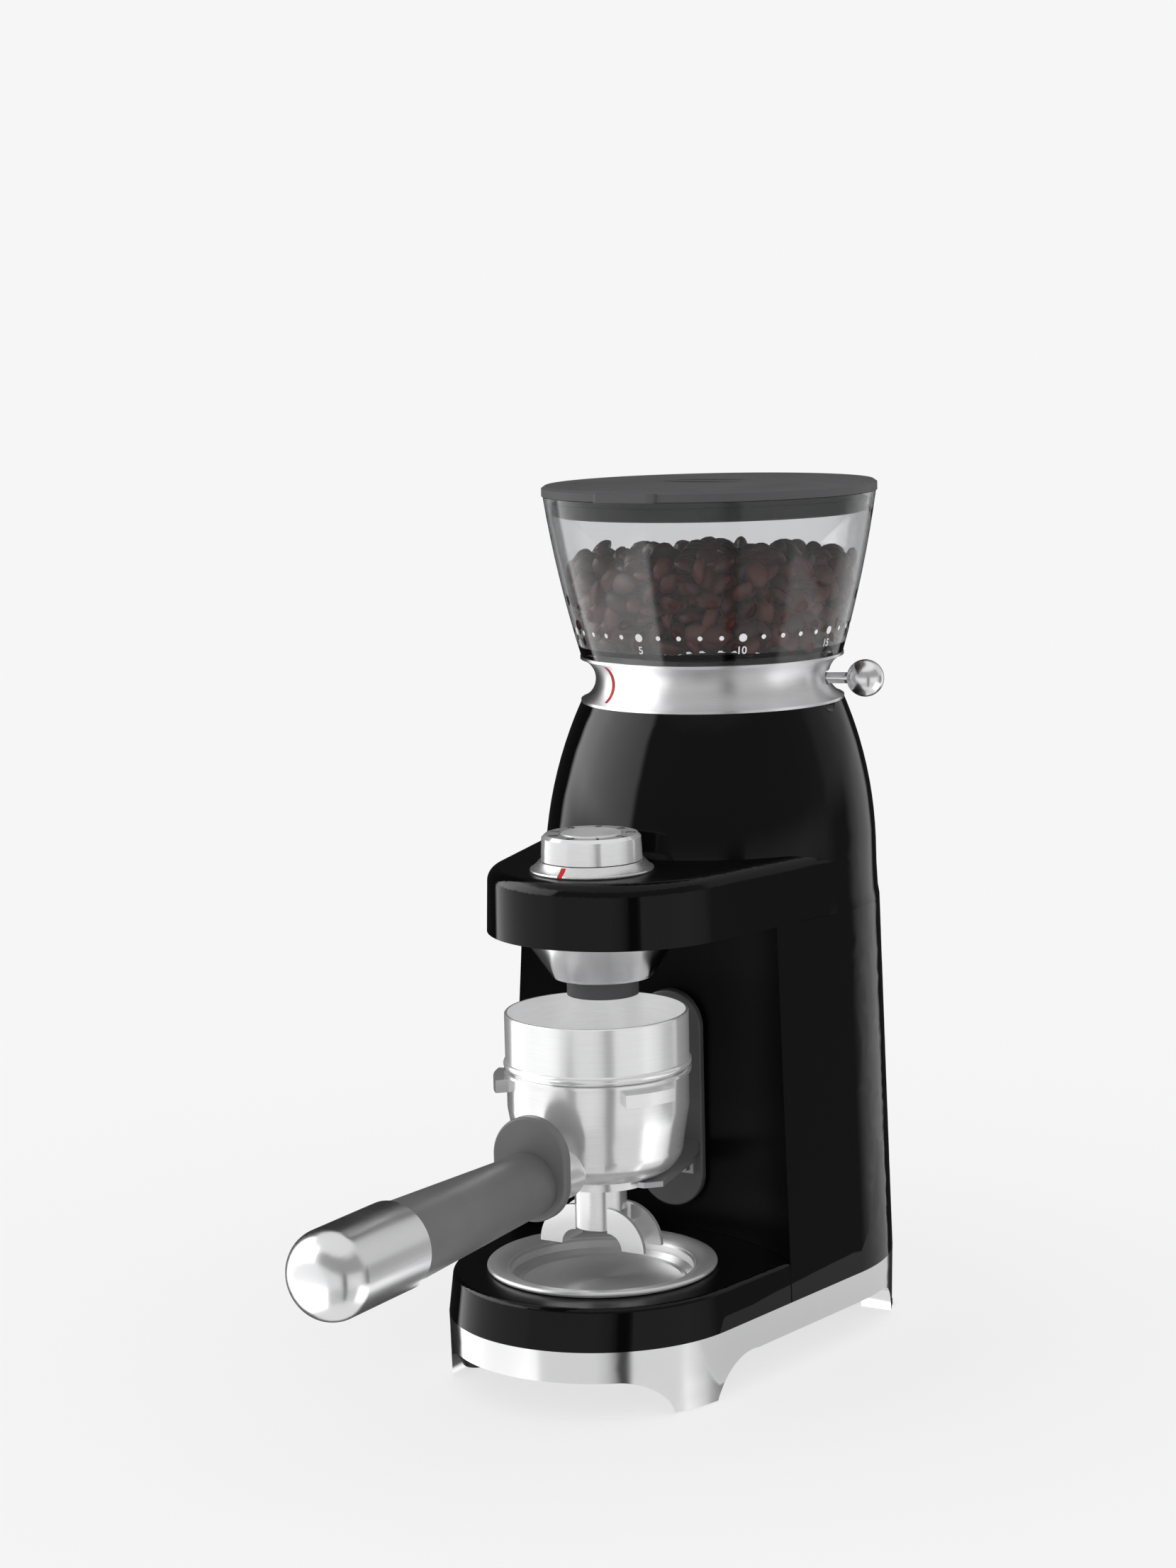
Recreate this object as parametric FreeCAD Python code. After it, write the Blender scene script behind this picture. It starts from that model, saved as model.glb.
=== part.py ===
"""Burr coffee grinder: hopper on a collar, body with a dosing platform, burr set,
gear train and motor, portafilter on its fork, drip dish and footed base band.

Millimetres, +Z up. The model is drawn about the axis of the hopper and burrs
(x = y = 0, floor at z = 0, front towards -Y) and every solid is then moved by
FRAME_Y, so that the origin lies on the floor, midway between front and back.
"""
import FreeCAD, Part
import math
import os

V = FreeCAD.Vector

# ---- body outline: a small front circle and a large back circle, joined by tangents
BACK_Y = -5.0            # centre of the back circle, all heights below the shoulder
BASE_FRONT_Y = -110.0    # centre of the front circle at the foot
BASE_FRONT_R = 66.8
BASE_BACK_R = 81.0
PLATFORM_FRONT_Y = -90.0
PLATFORM_FRONT_R = 56.6
COLUMN_TAPER = 4.2       # back circle's loss of radius from the foot to the split
SPLIT_BACK_R = BASE_BACK_R - COLUMN_TAPER
SHOULDER_TAPER = 1.4
SHOULDER_R = SPLIT_BACK_R - SHOULDER_TAPER   # where the dome starts to curve in
PLATFORM_DRAFT = 0.9     # the platform's side leans in by this much
WALL = 2.5               # casing wall
SEAT_GAP = 0.3           # gap between pieces that sit on or beside each other

# ---- body heights
BAND_ARCH_Z = 16.5
BAND_TOP_Z = 30.0
FOOT_TOP_Z = 48.0
SPLIT_Z = 194.7
SHOULDER_Z = 210.0
PLATFORM_TOP_Z = 223.0
COLLAR_Z = 284.5
HOPPER_Z = 305.7
FOOT_EDGE_R = 2.4
PLATFORM_EDGE_R = 6.5

# ---- dosing bay
BAY_R = 110.0            # concave wall behind the portafilter
BAY_BACK_Y = -43.0       # its deepest line
BAY_Y = BAY_BACK_Y - BAY_R

# ---- base band and feet
BAND_WALL = 3.0
FOOT_DEPTH = 14.0
FOOT_LIFT = 0.8          # metal foot above the floor, on its pad
PAD_R = 5.2
PAD_DEEP = 1.6
PAD_PLACES = [(-55.2, -128.0), (55.2, -128.0), (-66.5, 31.0), (66.5, 31.0)]
FRONT_ARCH_X = 56.0
FRONT_ARCH_RUN = 16.0
SIDE_ARCH_Y0 = -124.5
SIDE_ARCH_Y1 = 22.0
SIDE_ARCH_RUN0 = 30.0
SIDE_ARCH_RUN1 = 18.0
REAR_ARCH_X = 60.0
REAR_ARCH_RUN = 16.0
PLATE_Z = 20.0
PLATE_T = 2.5
PLATE_POSTS = [(-52, -118), (52, -118), (-58, 28), (58, 28)]
SCREW_R = 1.8

# ---- hopper, lid and collar
COLLAR_R = 59.7
COLLAR_WAIST_R = 52.9
COLLAR_BORE_R = 48.6
HOPPER_FOOT_R = 59.4
HOPPER_MID_R = 67.6
HOPPER_MOUTH_R = 75.0
HOPPER_MID_Z = 337.7
HOPPER_TOP_Z = 377.6
HOPPER_WALL = 2.2
HOPPER_FLOOR_Z = 310.6
HOPPER_FLOOR_DROP = 7.0
WINDOW_WIDE = 62.0       # bean windows, degrees
NECK_PLATE_T = 1.5
DRIVE_TAB = 7.6
NECK_R = 27.0
NECK_WALL = 2.4
NECK_END_Z = 279.5
LID_R = 75.6
LID_T = 5.1
LID_TOP_Z = HOPPER_TOP_Z + SEAT_GAP + LID_T
LID_TAB_REACH = 3.2
LID_TAB_HALF = 15.0
LID_RING_R = 60.0
GRIP_HALF = 25.5
GRIP_WIDE = 26.0
GRIP_BAR = 9.0
GRIP_DEEP = 3.0
LID_SKIRT_DROP = 9.0

# ---- lever that locks the hopper and turns its shutter
LEVER_Z = 294.2
LEVER_ANGLE = 105.0      # from the front, towards +X
LEVER_TRAVEL = 50.0
LEVER_REACH = 70.6
BALL_R = 8.4
STEM_R = 2.5
LOCK_RING_T = 8.0
LOCK_RING_R = 31.0

# ---- burr set, chamber and gears
BURR_R = 29.0
CHAMBER_R = 35.0
CHAMBER_WALL = 3.0
CHAMBER_Z = 225.0
CHAMBER_TOP_Z = 283.0
CHAMBER_FLOOR = 3.0
RING_BURR_Z0 = 241.0
RING_BURR_Z1 = 262.0
BURR_GAP = 0.45
CONE_TOP_R = 9.0
CONE_FOOT_R = 22.5
CONE_Z0 = 239.0
CONE_Z1 = 264.0
CARRIER_TOP_Z = 285.0
CARRIER_LIP_T = 3.0
CHUTE_HALF = 14.0
CHUTE_WALL = 2.0
SHAFT_R = 5.0
SHAFT_FIT = 0.05         # radial running clearance of shafts
GEAR_MODULE = 1.0
GEAR_TEETH = 38
PINION_TEETH = 10
GEAR_Z = 204.0
GEAR_T = 9.0
GEAR_CASE_WALL = 2.5
COVER_T = 3.0
CHASSIS_Z = 190.7
CHASSIS_T = 3.7
LEDGE_T = 3.0
LEDGE_WIDE = 4.0
BEARING_R = 11.0
BEARING_T = 6.0

# ---- motor
MOTOR_R = 33.0
MOTOR_Z0 = 118.0
MOTOR_Z1 = 182.0
MOTOR_WALL = 2.0
MOTOR_SHAFT_R = 3.0
ARMATURE_R = 22.0
COMMUTATOR_R = 9.0
DAMPER_SPREAD = 24.0
MOUNT_T = 3.0

# ---- knob on the platform
KNOB_Y = -109.8
KNOB_R = 21.9
KNOB_RING_R = 26.8
KNOB_TOP_Z = 239.0
KNOB_RING_H = 4.6
BUTTON_R = 13.3
BUTTON_TRAVEL = 1.5
BOARD_T = 1.6
KNOB_BOARD_Z = 206.0
KNOB_SHAFT_R = 3.0
KNOB_HOLE_R = 7.0
STEM_HOLE_R = 1.6
BOARD_POSTS = [(-17, -13), (17, -13), (-17, 11), (17, 11)]

# ---- power board behind the bay
BOARD_X = 30.0
BOARD_BEHIND_BAY = 8.6
POWER_BOARD_Y = BAY_BACK_Y + BOARD_BEHIND_BAY
POWER_BOARD_Z = (72.0, 148.0)

# ---- funnel and sleeve
FUNNEL_Y = -103.0
FUNNEL_TOP_R = 37.0
FUNNEL_MOUTH_R = 22.2
FUNNEL_WALL = 1.2
FUNNEL_Z = 175.6
SLEEVE_R = 15.6
SLEEVE_Z = 167.8
FLOOR_LIFT = 0.8         # platform floor above the casing's rim
FLOOR_T = 2.5

# ---- portafilter
PORTA_Y = -109.0
RIM_Z = 135.2
RIM_T = 2.5
RIM_R = 40.7
CUP_R = 39.5
CUP_LOW_R = 36.6
CUP_LOW_Z = 103.0
CUP_SHOULDER_Z = 90.4
CUP_BOSS_R = 23.2
CUP_BOSS_Z = 86.6
CUP_WALL = 2.4
RING_R = 39.9
RING_TOP_Z = 161.5
RING_WALL = 1.3
RING_BEAD = 0.9
RING_BEAD_H = 2.6
BASKET_R = 35.5
BASKET_DEEP = 24.0
LUG_R = 45.3
LUG_FROM = 46.0
LUG_TO = 77.0
LUG_T = 5.6
LUG_TURNS = (0, 180, 237.5)
NECK_BOSS_R = 11.4
NECK_BOSS_Z = 66.0
SPOUT_TIP_Z = 58.0
SPOUT_OUT_X = 26.0
SPOUT_BEND_X = 8.0
SPOUT_WIDE = 17.0
SPOUT_THICK = 11.0
HANDLE_Z = 98.4
FLANGE_Y = -167.0
FLANGE_T = 4.6
FLANGE_HALF = 17.8
FLANGE_UP = 28.6
FLANGE_DOWN = 16.6
STUD_R = 3.5
STUD_IN_CAP = 12.0
GRIP_R0 = 13.6
GRIP_R1 = 17.1
GRIP_END_Y = -267.0
CAP_R = 18.4
CAP_END_Y = -323.5
CAP_ROUND = 13.0
CAP_DOME_R = 60.0

# ---- fork, panel and dish
FORK_Z = 90.0
FORK_T = 2.4
FORK_HALF = 33.2
FORK_INNER = 24.2
FORK_TIP_Y = -118.0
FORK_KNEE = (27.0, -80.0)
FORK_ROOT_HALF = 14.0
PANEL_HALF = 16.4
PANEL_Z0 = 58.8
PANEL_Z1 = 158.2
PANEL_T = 4.2
PANEL_FACE_Y = BAY_BACK_Y - PANEL_T
DISH_Y = -108.9
DISH_R = 49.9
DISH_Z = 50.5
DISH_LIP_R = 40.8
DISH_FLOOR_Z = 40.4
DISH_WALL = 1.0

# ---- cord inlet
INLET_Z = 40.0
INLET_R = 3.6
INLET_BUSH_R = 6.0
INLET_LENGTH = 14.0
INLET_FLANGE_T = 3.0

# ---- derived places
BODY_BACK_Y = BACK_Y + BASE_BACK_R
FRAME_Y = -(CAP_END_Y + BODY_BACK_Y + INLET_FLANGE_T) / 2
GEAR_CENTRES = GEAR_MODULE * (GEAR_TEETH + PINION_TEETH) / 2
PLATFORM_FLOOR_Z = SPLIT_Z + FLOOR_LIFT
FLOOR_TOP_Z = PLATFORM_FLOOR_Z + FLOOR_T
BASE_HULL = (BASE_FRONT_Y, BASE_FRONT_R, BACK_Y, BASE_BACK_R)
SPLIT_HULL = (PLATFORM_FRONT_Y, PLATFORM_FRONT_R, BACK_Y, SPLIT_BACK_R)
LOCK_Z0 = LEVER_Z - LOCK_RING_T / 2
LOCK_Z1 = LEVER_Z + LOCK_RING_T / 2
CARRIER_R = CHAMBER_R - SEAT_GAP
SWEEPER_Z0 = CHAMBER_Z + CHAMBER_FLOOR + 0.6
BURR_SHAFT_Z0 = CHASSIS_Z + CHASSIS_T + GEAR_CASE_WALL + 0.4
CASE_Z0 = CHASSIS_Z + CHASSIS_T
CASE_Z1 = CHAMBER_Z - COVER_T
KNOB_BASE_Z = PLATFORM_TOP_Z + KNOB_RING_H + SEAT_GAP


# ---------------------------------------------------------------- drawing helpers
def disc(radius, z0, z1, x=0.0, y=0.0):
    """Upright cylinder from z0 to z1."""
    return Part.makeCylinder(radius, z1 - z0, V(x, y, z0))


def tube(outer, inner, z0, z1, x=0.0, y=0.0):
    """Upright ring from z0 to z1."""
    return disc(outer, z0, z1, x, y).cut(disc(inner, z0 - 1, z1 + 1, x, y))


def block(x0, x1, y0, y1, z0, z1):
    """Box between two corners."""
    return Part.makeBox(x1 - x0, y1 - y0, z1 - z0, V(x0, y0, z0))


def rod_y(radius, y0, y1, x, z):
    """Cylinder along Y."""
    return Part.makeCylinder(radius, y1 - y0, V(x, y0, z), V(0, 1, 0))


def outline(steps, place):
    """Closed wire: a step is a corner (a, b), or ((a, b) mid, (a, b) end) for an arc."""
    edges = []
    here = steps[0]
    for step in list(steps[1:]) + [steps[0]]:
        if isinstance(step[0], tuple):
            edges.append(Part.Arc(place(here), place(step[0]), place(step[1])).toShape())
            here = step[1]
        else:
            edges.append(Part.LineSegment(place(here), place(step)).toShape())
            here = step
    return Part.Wire(edges)


def revolved(steps, y=0.0):
    """Solid turned from an (r, z) outline about the upright axis at (0, y)."""
    wire = outline(steps, lambda p: V(p[0], y, p[1]))
    return Part.Face(wire).revolve(V(0, y, 0), V(0, 0, 1), 360)


def turned_y(steps, z):
    """Solid turned from an (r, y) outline about the level axis through z."""
    wire = outline(steps, lambda p: V(p[0], p[1], z))
    return Part.Face(wire).revolve(V(0, 0, z), V(0, 1, 0), 360)


def extruded(steps, place, along):
    """Prism of an outline."""
    return Part.Face(outline(steps, place)).extrude(along)


def polar(radius, degrees, z=0.0, y=0.0):
    """Point at an angle measured from the front towards +X."""
    a = math.radians(degrees)
    return V(radius * math.sin(a), y - radius * math.cos(a), z)


def hull_wire(front_y, front_r, back_y, back_r, z):
    """Front arc, back arc and their two common tangents, at height z."""
    lean = math.asin((back_r - front_r) / (back_y - front_y))
    cx, cy = math.cos(lean), -math.sin(lean)
    f1 = V(front_r * cx, front_y + front_r * cy, z)
    f0 = V(-front_r * cx, front_y + front_r * cy, z)
    b1 = V(back_r * cx, back_y + back_r * cy, z)
    b0 = V(-back_r * cx, back_y + back_r * cy, z)
    front = Part.Arc(f0, V(0, front_y - front_r, z), f1).toShape()
    right = Part.LineSegment(f1, b1).toShape()
    back = Part.Arc(b1, V(0, back_y + back_r, z), b0).toShape()
    left = Part.LineSegment(b0, f0).toShape()
    return Part.Wire([front, right, back, left])


def hull_solid(lower, upper, z0, z1):
    """Straight-sided solid between two hull outlines (front_y, front_r, back_y, back_r)."""
    return Part.makeLoft([hull_wire(*lower, z0), hull_wire(*upper, z1)], True, True)


def shrunk(hull, inset):
    """The same hull with both circles smaller."""
    return (hull[0], hull[1] - inset, hull[2], hull[3] - inset)


def blend(a, b, share):
    """Hull that lies the given share of the way from a to b."""
    return tuple(p + (q - p) * share for p, q in zip(a, b))


def body_hull(z, inset=0.0):
    """Outline of the body between the band's top and the shoulder."""
    share = (z - BAND_TOP_Z) / (SPLIT_Z - BAND_TOP_Z)
    return shrunk(blend(BASE_HULL, SPLIT_HULL, share), inset)


def body_block(z0, z1, inset=0.0):
    """Solid of the body's tapering outline from z0 to z1."""
    return hull_solid(body_hull(z0, inset), body_hull(z1, inset), z0, z1)


def union(shapes):
    """Fuse a list of shapes into one clean shape."""
    whole = shapes[0]
    for shape in shapes[1:]:
        whole = whole.fuse(shape)
    return whole.removeSplitter()


def round_edges(shape, radius, wanted):
    """Fillet the edges for which wanted(edge) is true."""
    edges = [edge for edge in shape.Edges if wanted(edge)]
    return shape.makeFillet(radius, edges)


def at_height(z):
    """Test for edges that lie wholly at one height."""
    return lambda edge: abs(edge.BoundBox.ZMin - z) < 0.01 and abs(edge.BoundBox.ZMax - z) < 0.01


# ---------------------------------------------------------------- casing
def dome_radius(z):
    """Radius of the dome: an arc from the collar down to the shoulder, then a slight taper."""
    if z <= SHOULDER_Z:
        share = (SHOULDER_Z - z) / (SHOULDER_Z - SPLIT_Z)
        return SHOULDER_R + (SPLIT_BACK_R - SHOULDER_R) * share
    rise = COLLAR_Z - SHOULDER_Z
    step = SHOULDER_R - COLLAR_R
    bend = (rise ** 2 + step ** 2) / (2 * step)
    return SHOULDER_R - bend + math.sqrt(bend ** 2 - (z - SHOULDER_Z) ** 2)


def dome_solid(inset, z0, z1):
    """Stack of circles whose centre moves from the back circle's axis to the collar's."""
    count = 8
    rings = []
    for i in range(count):
        z = z0 + (z1 - z0) * i / (count - 1)
        share = max(0.0, (z - SHOULDER_Z) / (COLLAR_Z - SHOULDER_Z))
        centre = V(0, BACK_Y * (1 - share), z)
        rings.append(Part.Wire(Part.makeCircle(dome_radius(z) - inset, centre)))
    return Part.makeLoft(rings, True, False)


def platform_solid(inset, z0, z1):
    """Platform in front of the dome; its back circle hides just inside the dome."""
    hidden = 0.5
    low = (PLATFORM_FRONT_Y, PLATFORM_FRONT_R - inset, BACK_Y, SPLIT_BACK_R - inset - hidden)
    lean = PLATFORM_DRAFT
    high = (low[0], low[1] - lean, low[2], SHOULDER_R - inset - hidden)
    return hull_solid(low, high, z0, z1)


def knob_bosses():
    """Posts below the platform's skin that carry the knob's board."""
    posts = []
    for x, y in BOARD_POSTS:
        posts.append(disc(2.6, KNOB_BOARD_Z + BOARD_T, PLATFORM_TOP_Z - 1, x, KNOB_Y + y))
    return posts


def upper_shell():
    skin = platform_solid(0, SPLIT_Z, PLATFORM_TOP_Z)
    skin = round_edges(skin, PLATFORM_EDGE_R, at_height(PLATFORM_TOP_Z))
    inner = platform_solid(WALL, SPLIT_Z - 1, PLATFORM_TOP_Z - WALL)
    shell = dome_solid(0, SPLIT_Z, COLLAR_Z).fuse(skin)
    shell = shell.cut(inner)
    shell = shell.cut(dome_solid(WALL, SPLIT_Z - 1, COLLAR_Z - WALL))
    shell = shell.cut(disc(COLLAR_BORE_R, COLLAR_Z - 2 * WALL, COLLAR_Z + 1))
    keep = dome_solid(WALL / 2, SPLIT_Z, COLLAR_Z - WALL)
    posts = [post.cut(keep) for post in knob_bosses()]
    shell = union([shell] + posts)
    return shell.cut(disc(KNOB_HOLE_R, PLATFORM_TOP_Z - 2 * WALL, PLATFORM_TOP_Z + 1, 0, KNOB_Y))


def bay_cutter(z0, z1, grow=0.0):
    """Upright cylinder that hollows the dosing bay out of the column."""
    return disc(BAY_R + grow, z0, z1, 0, BAY_Y)


def lower_shell():
    shell = body_block(BAND_TOP_Z, SPLIT_Z).cut(bay_cutter(FOOT_TOP_Z, SPLIT_Z + 1))
    shell = round_edges(shell, FOOT_EDGE_R, foot_rim)
    hollow = body_block(BAND_TOP_Z, SPLIT_Z, WALL)
    hollow = hollow.cut(bay_cutter(FOOT_TOP_Z - WALL, SPLIT_Z + 1, WALL))
    lower = hull_solid(shrunk(BASE_HULL, WALL), shrunk(BASE_HULL, WALL), BAND_TOP_Z - 1, BAND_TOP_Z)
    shell = shell.cut(hollow).cut(lower)
    ledge = body_block(CHASSIS_Z - LEDGE_T, CHASSIS_Z, WALL / 2)
    ledge = ledge.cut(bay_cutter(0, SPLIT_Z, WALL / 2))
    opening = body_block(CHASSIS_Z - LEDGE_T - 1, CHASSIS_Z + 1, WALL + LEDGE_WIDE)
    ledge = ledge.cut(opening.cut(bay_cutter(0, SPLIT_Z, WALL + LEDGE_WIDE)))
    posts = []
    for x, y in PLATE_POSTS:
        top = FOOT_TOP_Z - WALL / 2
        post = disc(4.5, PLATE_Z + PLATE_T, top, x, y)
        rib = block(min(x, 1.4 * x), max(x, 1.4 * x), y - 1.2, y + 1.2, BAND_TOP_Z, top)
        post = post.fuse(rib.common(body_block(BAND_TOP_Z, FOOT_TOP_Z, WALL / 2)))
        posts.append(post.cut(disc(SCREW_R + SHAFT_FIT, 0, top - 6, x, y)))
    for x in (-BOARD_X, BOARD_X):
        for z in (POWER_BOARD_Z[0] + 6, POWER_BOARD_Z[1] - 6):
            post = rod_y(3.0, BAY_BACK_Y - 8, POWER_BOARD_Y - BOARD_T, x, z)
            posts.append(post.cut(bay_cutter(0, SPLIT_Z, WALL / 2)))
    shell = union([shell, ledge] + posts)
    well = disc(DISH_LIP_R + DISH_WALL + 2 * SEAT_GAP, DISH_FLOOR_Z - 8, DISH_Z, 0, DISH_Y)
    inlet = rod_y(INLET_BUSH_R + SEAT_GAP / 6, BODY_BACK_Y - 12, BODY_BACK_Y + 2, 0, INLET_Z)
    return shell.cut(well).cut(inlet)


def foot_rim(edge):
    """Test for the foot's outer top edge, which is all in front of the bay's wall."""
    level = at_height(FOOT_TOP_Z)(edge)
    mid = edge.valueAt((edge.FirstParameter + edge.LastParameter) / 2)
    return level and math.hypot(mid.x, mid.y - BAY_Y) < BAY_R - 0.5


def platform_floor():
    """Plate that closes the platform from below, with the funnel's hole."""
    plate = platform_solid(WALL + SEAT_GAP, PLATFORM_FLOOR_Z, FLOOR_TOP_Z)
    keep = disc(BAY_R - SEAT_GAP, PLATFORM_FLOOR_Z - 1, FLOOR_TOP_Z + 1, 0, BAY_Y)
    plate = plate.common(keep)
    return plate.cut(disc(FUNNEL_TOP_R + SEAT_GAP, PLATFORM_FLOOR_Z - 1, FLOOR_TOP_Z + 1, 0, FUNNEL_Y))


# ---------------------------------------------------------------- base
def arch(run0, run1, a0, a1, floor):
    """Outline of the gap between two feet: two quarter-ellipse-like rises and a flat top."""
    top = BAND_ARCH_Z
    bulge = 0.30
    mid0 = (a0 + run0 * bulge, top * (1 - bulge) * 0.98)
    mid1 = (a1 - run1 * bulge, top * (1 - bulge) * 0.98)
    return [(a0, floor), (mid0, (a0 + run0, top)), (a1 - run1, top), (mid1, (a1, floor))]


def base_band():
    low = shrunk(BASE_HULL, 0.6)
    outer = hull_solid(low, BASE_HULL, FOOT_LIFT, BAND_TOP_Z)
    ring = outer.cut(hull_solid(shrunk(low, BAND_WALL), shrunk(BASE_HULL, BAND_WALL), -1, BAND_TOP_Z + 1))
    thick = outer.cut(hull_solid(shrunk(low, FOOT_DEPTH), shrunk(low, FOOT_DEPTH), -1, BAND_TOP_Z + 1))
    feet = thick.common(block(-200, 200, -200, 200, FOOT_LIFT, BAND_ARCH_Z))
    corners = []
    for side in (-1, 1):
        x0, x1 = sorted((side * (FRONT_ARCH_X - 14), side * 100))
        corners.append(block(x0, x1, -150, SIDE_ARCH_Y0 + 8, 0, BAND_ARCH_Z))
        x0, x1 = sorted((side * (REAR_ARCH_X - 12), side * 100))
        corners.append(block(x0, x1, SIDE_ARCH_Y1 - 10, 62, 0, BAND_ARCH_Z))
    band = union([ring, feet.common(union(corners))])
    floor = -1.0
    front = arch(FRONT_ARCH_RUN, FRONT_ARCH_RUN, -FRONT_ARCH_X, FRONT_ARCH_X, floor)
    rear = arch(REAR_ARCH_RUN, REAR_ARCH_RUN, -REAR_ARCH_X, REAR_ARCH_X, floor)
    side = arch(SIDE_ARCH_RUN0, SIDE_ARCH_RUN1, SIDE_ARCH_Y0, SIDE_ARCH_Y1, floor)
    band = band.cut(extruded(front, lambda p: V(p[0], BASE_FRONT_Y, p[1]), V(0, -100, 0)))
    band = band.cut(extruded(rear, lambda p: V(p[0], SIDE_ARCH_Y1 + 6, p[1]), V(0, 100, 0)))
    band = band.cut(extruded(side, lambda p: V(-100, p[0], p[1]), V(200, 0, 0)))
    for x, y in PAD_PLACES:
        band = band.cut(disc(PAD_R + SEAT_GAP / 3, -1, FOOT_LIFT + PAD_DEEP, x, y))
    return band


def foot_pads():
    return [disc(PAD_R, 0, FOOT_LIFT + PAD_DEEP, x, y) for x, y in PAD_PLACES]


def base_plate():
    inset = BAND_WALL + SEAT_GAP
    low = shrunk(BASE_HULL, inset + 0.6)
    plate = hull_solid(low, low, PLATE_Z, PLATE_Z + PLATE_T)
    for x, y in PLATE_POSTS:
        plate = plate.cut(disc(SCREW_R + SHAFT_FIT, PLATE_Z - 1, PLATE_Z + PLATE_T + 1, x, y))
    return plate


def screw(x, y, z, length, head_r=3.4, head_t=2.0):
    """Pan screw that points up, with its head below z."""
    return disc(SCREW_R, z, z + length, x, y).fuse(disc(head_r, z - head_t, z, x, y)).removeSplitter()


def base_screws():
    return [screw(x, y, PLATE_Z, 14) for x, y in PLATE_POSTS]


def cord_inlet_bush():
    y1 = BODY_BACK_Y
    bush = rod_y(INLET_BUSH_R, y1 + INLET_FLANGE_T - INLET_LENGTH, y1, 0, INLET_Z)
    bush = bush.fuse(rod_y(INLET_BUSH_R + 2.5, y1, y1 + INLET_FLANGE_T, 0, INLET_Z))
    return bush.cut(rod_y(INLET_R, y1 - INLET_LENGTH, y1 + 5, 0, INLET_Z)).removeSplitter()


# ---------------------------------------------------------------- collar and lever
def collar():
    z0, z1 = COLLAR_Z, HOPPER_Z - SEAT_GAP
    lip = 1.2
    mid = (z0 + z1) / 2
    steps = [(COLLAR_BORE_R, z0), (COLLAR_R, z0), (COLLAR_R, z0 + lip),
             ((COLLAR_WAIST_R, mid), (COLLAR_R, z1 - lip)), (COLLAR_R, z1), (COLLAR_BORE_R, z1)]
    ring = revolved(steps)
    shelf = tube(COLLAR_BORE_R + 1, CHAMBER_R + CHAMBER_WALL + SEAT_GAP, z0, LOCK_Z0 - SEAT_GAP)
    ring = ring.fuse(shelf)
    return ring.cut(slot_cutter()).removeSplitter()


def slot_cutter():
    """Swept slot in the collar for the lever's stem."""
    half = STEM_R + 0.5
    margin = math.degrees(half / COLLAR_WAIST_R)
    wedge = Part.makeCylinder(COLLAR_R + 5, 2 * half, V(0, 0, LEVER_Z - half), V(0, 0, 1),
                              LEVER_TRAVEL + 2 * margin)
    wedge.rotate(V(0, 0, 0), V(0, 0, 1), LEVER_ANGLE - 90 - margin)
    return wedge.cut(disc(COLLAR_BORE_R - 1, LEVER_Z - 9, LEVER_Z + 9))


def lock_ring():
    ring = tube(COLLAR_BORE_R - SEAT_GAP, LOCK_RING_R, LOCK_Z0, LOCK_Z1)
    at = polar(COLLAR_BORE_R - 8, LEVER_ANGLE, LEVER_Z)
    out = polar(1, LEVER_ANGLE)
    return ring.cut(Part.makeCylinder(STEM_R, 20, at, out))


def lever_stem():
    at = polar(COLLAR_BORE_R - 8, LEVER_ANGLE, LEVER_Z)
    out = polar(1, LEVER_ANGLE)
    reach = LEVER_REACH - BALL_R + 3 - (COLLAR_BORE_R - 8)
    return Part.makeCylinder(STEM_R, reach, at, out)


def lever_ball():
    ball = Part.makeSphere(BALL_R, polar(LEVER_REACH, LEVER_ANGLE, LEVER_Z))
    return ball.cut(lever_stem())


# ---------------------------------------------------------------- hopper and lid
def hopper_wall_radius(z):
    """Outer radius of the clear bowl, on the arc through its foot, middle and mouth."""
    arc = Part.Arc(V(HOPPER_FOOT_R, HOPPER_Z, 0), V(HOPPER_MID_R, HOPPER_MID_Z, 0),
                   V(HOPPER_MOUTH_R, HOPPER_TOP_Z, 0))
    line = Part.LineSegment(V(0, z, 0), V(200, z, 0))
    return arc.toShape().distToShape(line.toShape())[1][0][0].x


def sector(radius, z0, z1, start, width):
    """Wedge of a disc between two angles from the front."""
    wedge = Part.makeCylinder(radius, z1 - z0, V(0, 0, z0), V(0, 0, 1), width)
    wedge.rotate(V(0, 0, 0), V(0, 0, 1), start - 90)
    return wedge


def windows(z0, z1, start=0.0):
    """Two opposite bean windows, for the hopper's neck and its shutter."""
    radius = NECK_R - NECK_WALL - 2.5
    hub = disc(6.0, z0 - 1, z1 + 1)
    cuts = [sector(radius, z0 - 1, z1 + 1, start + turn, WINDOW_WIDE).cut(hub) for turn in (0, 180)]
    return cuts[0].fuse(cuts[1])


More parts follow.
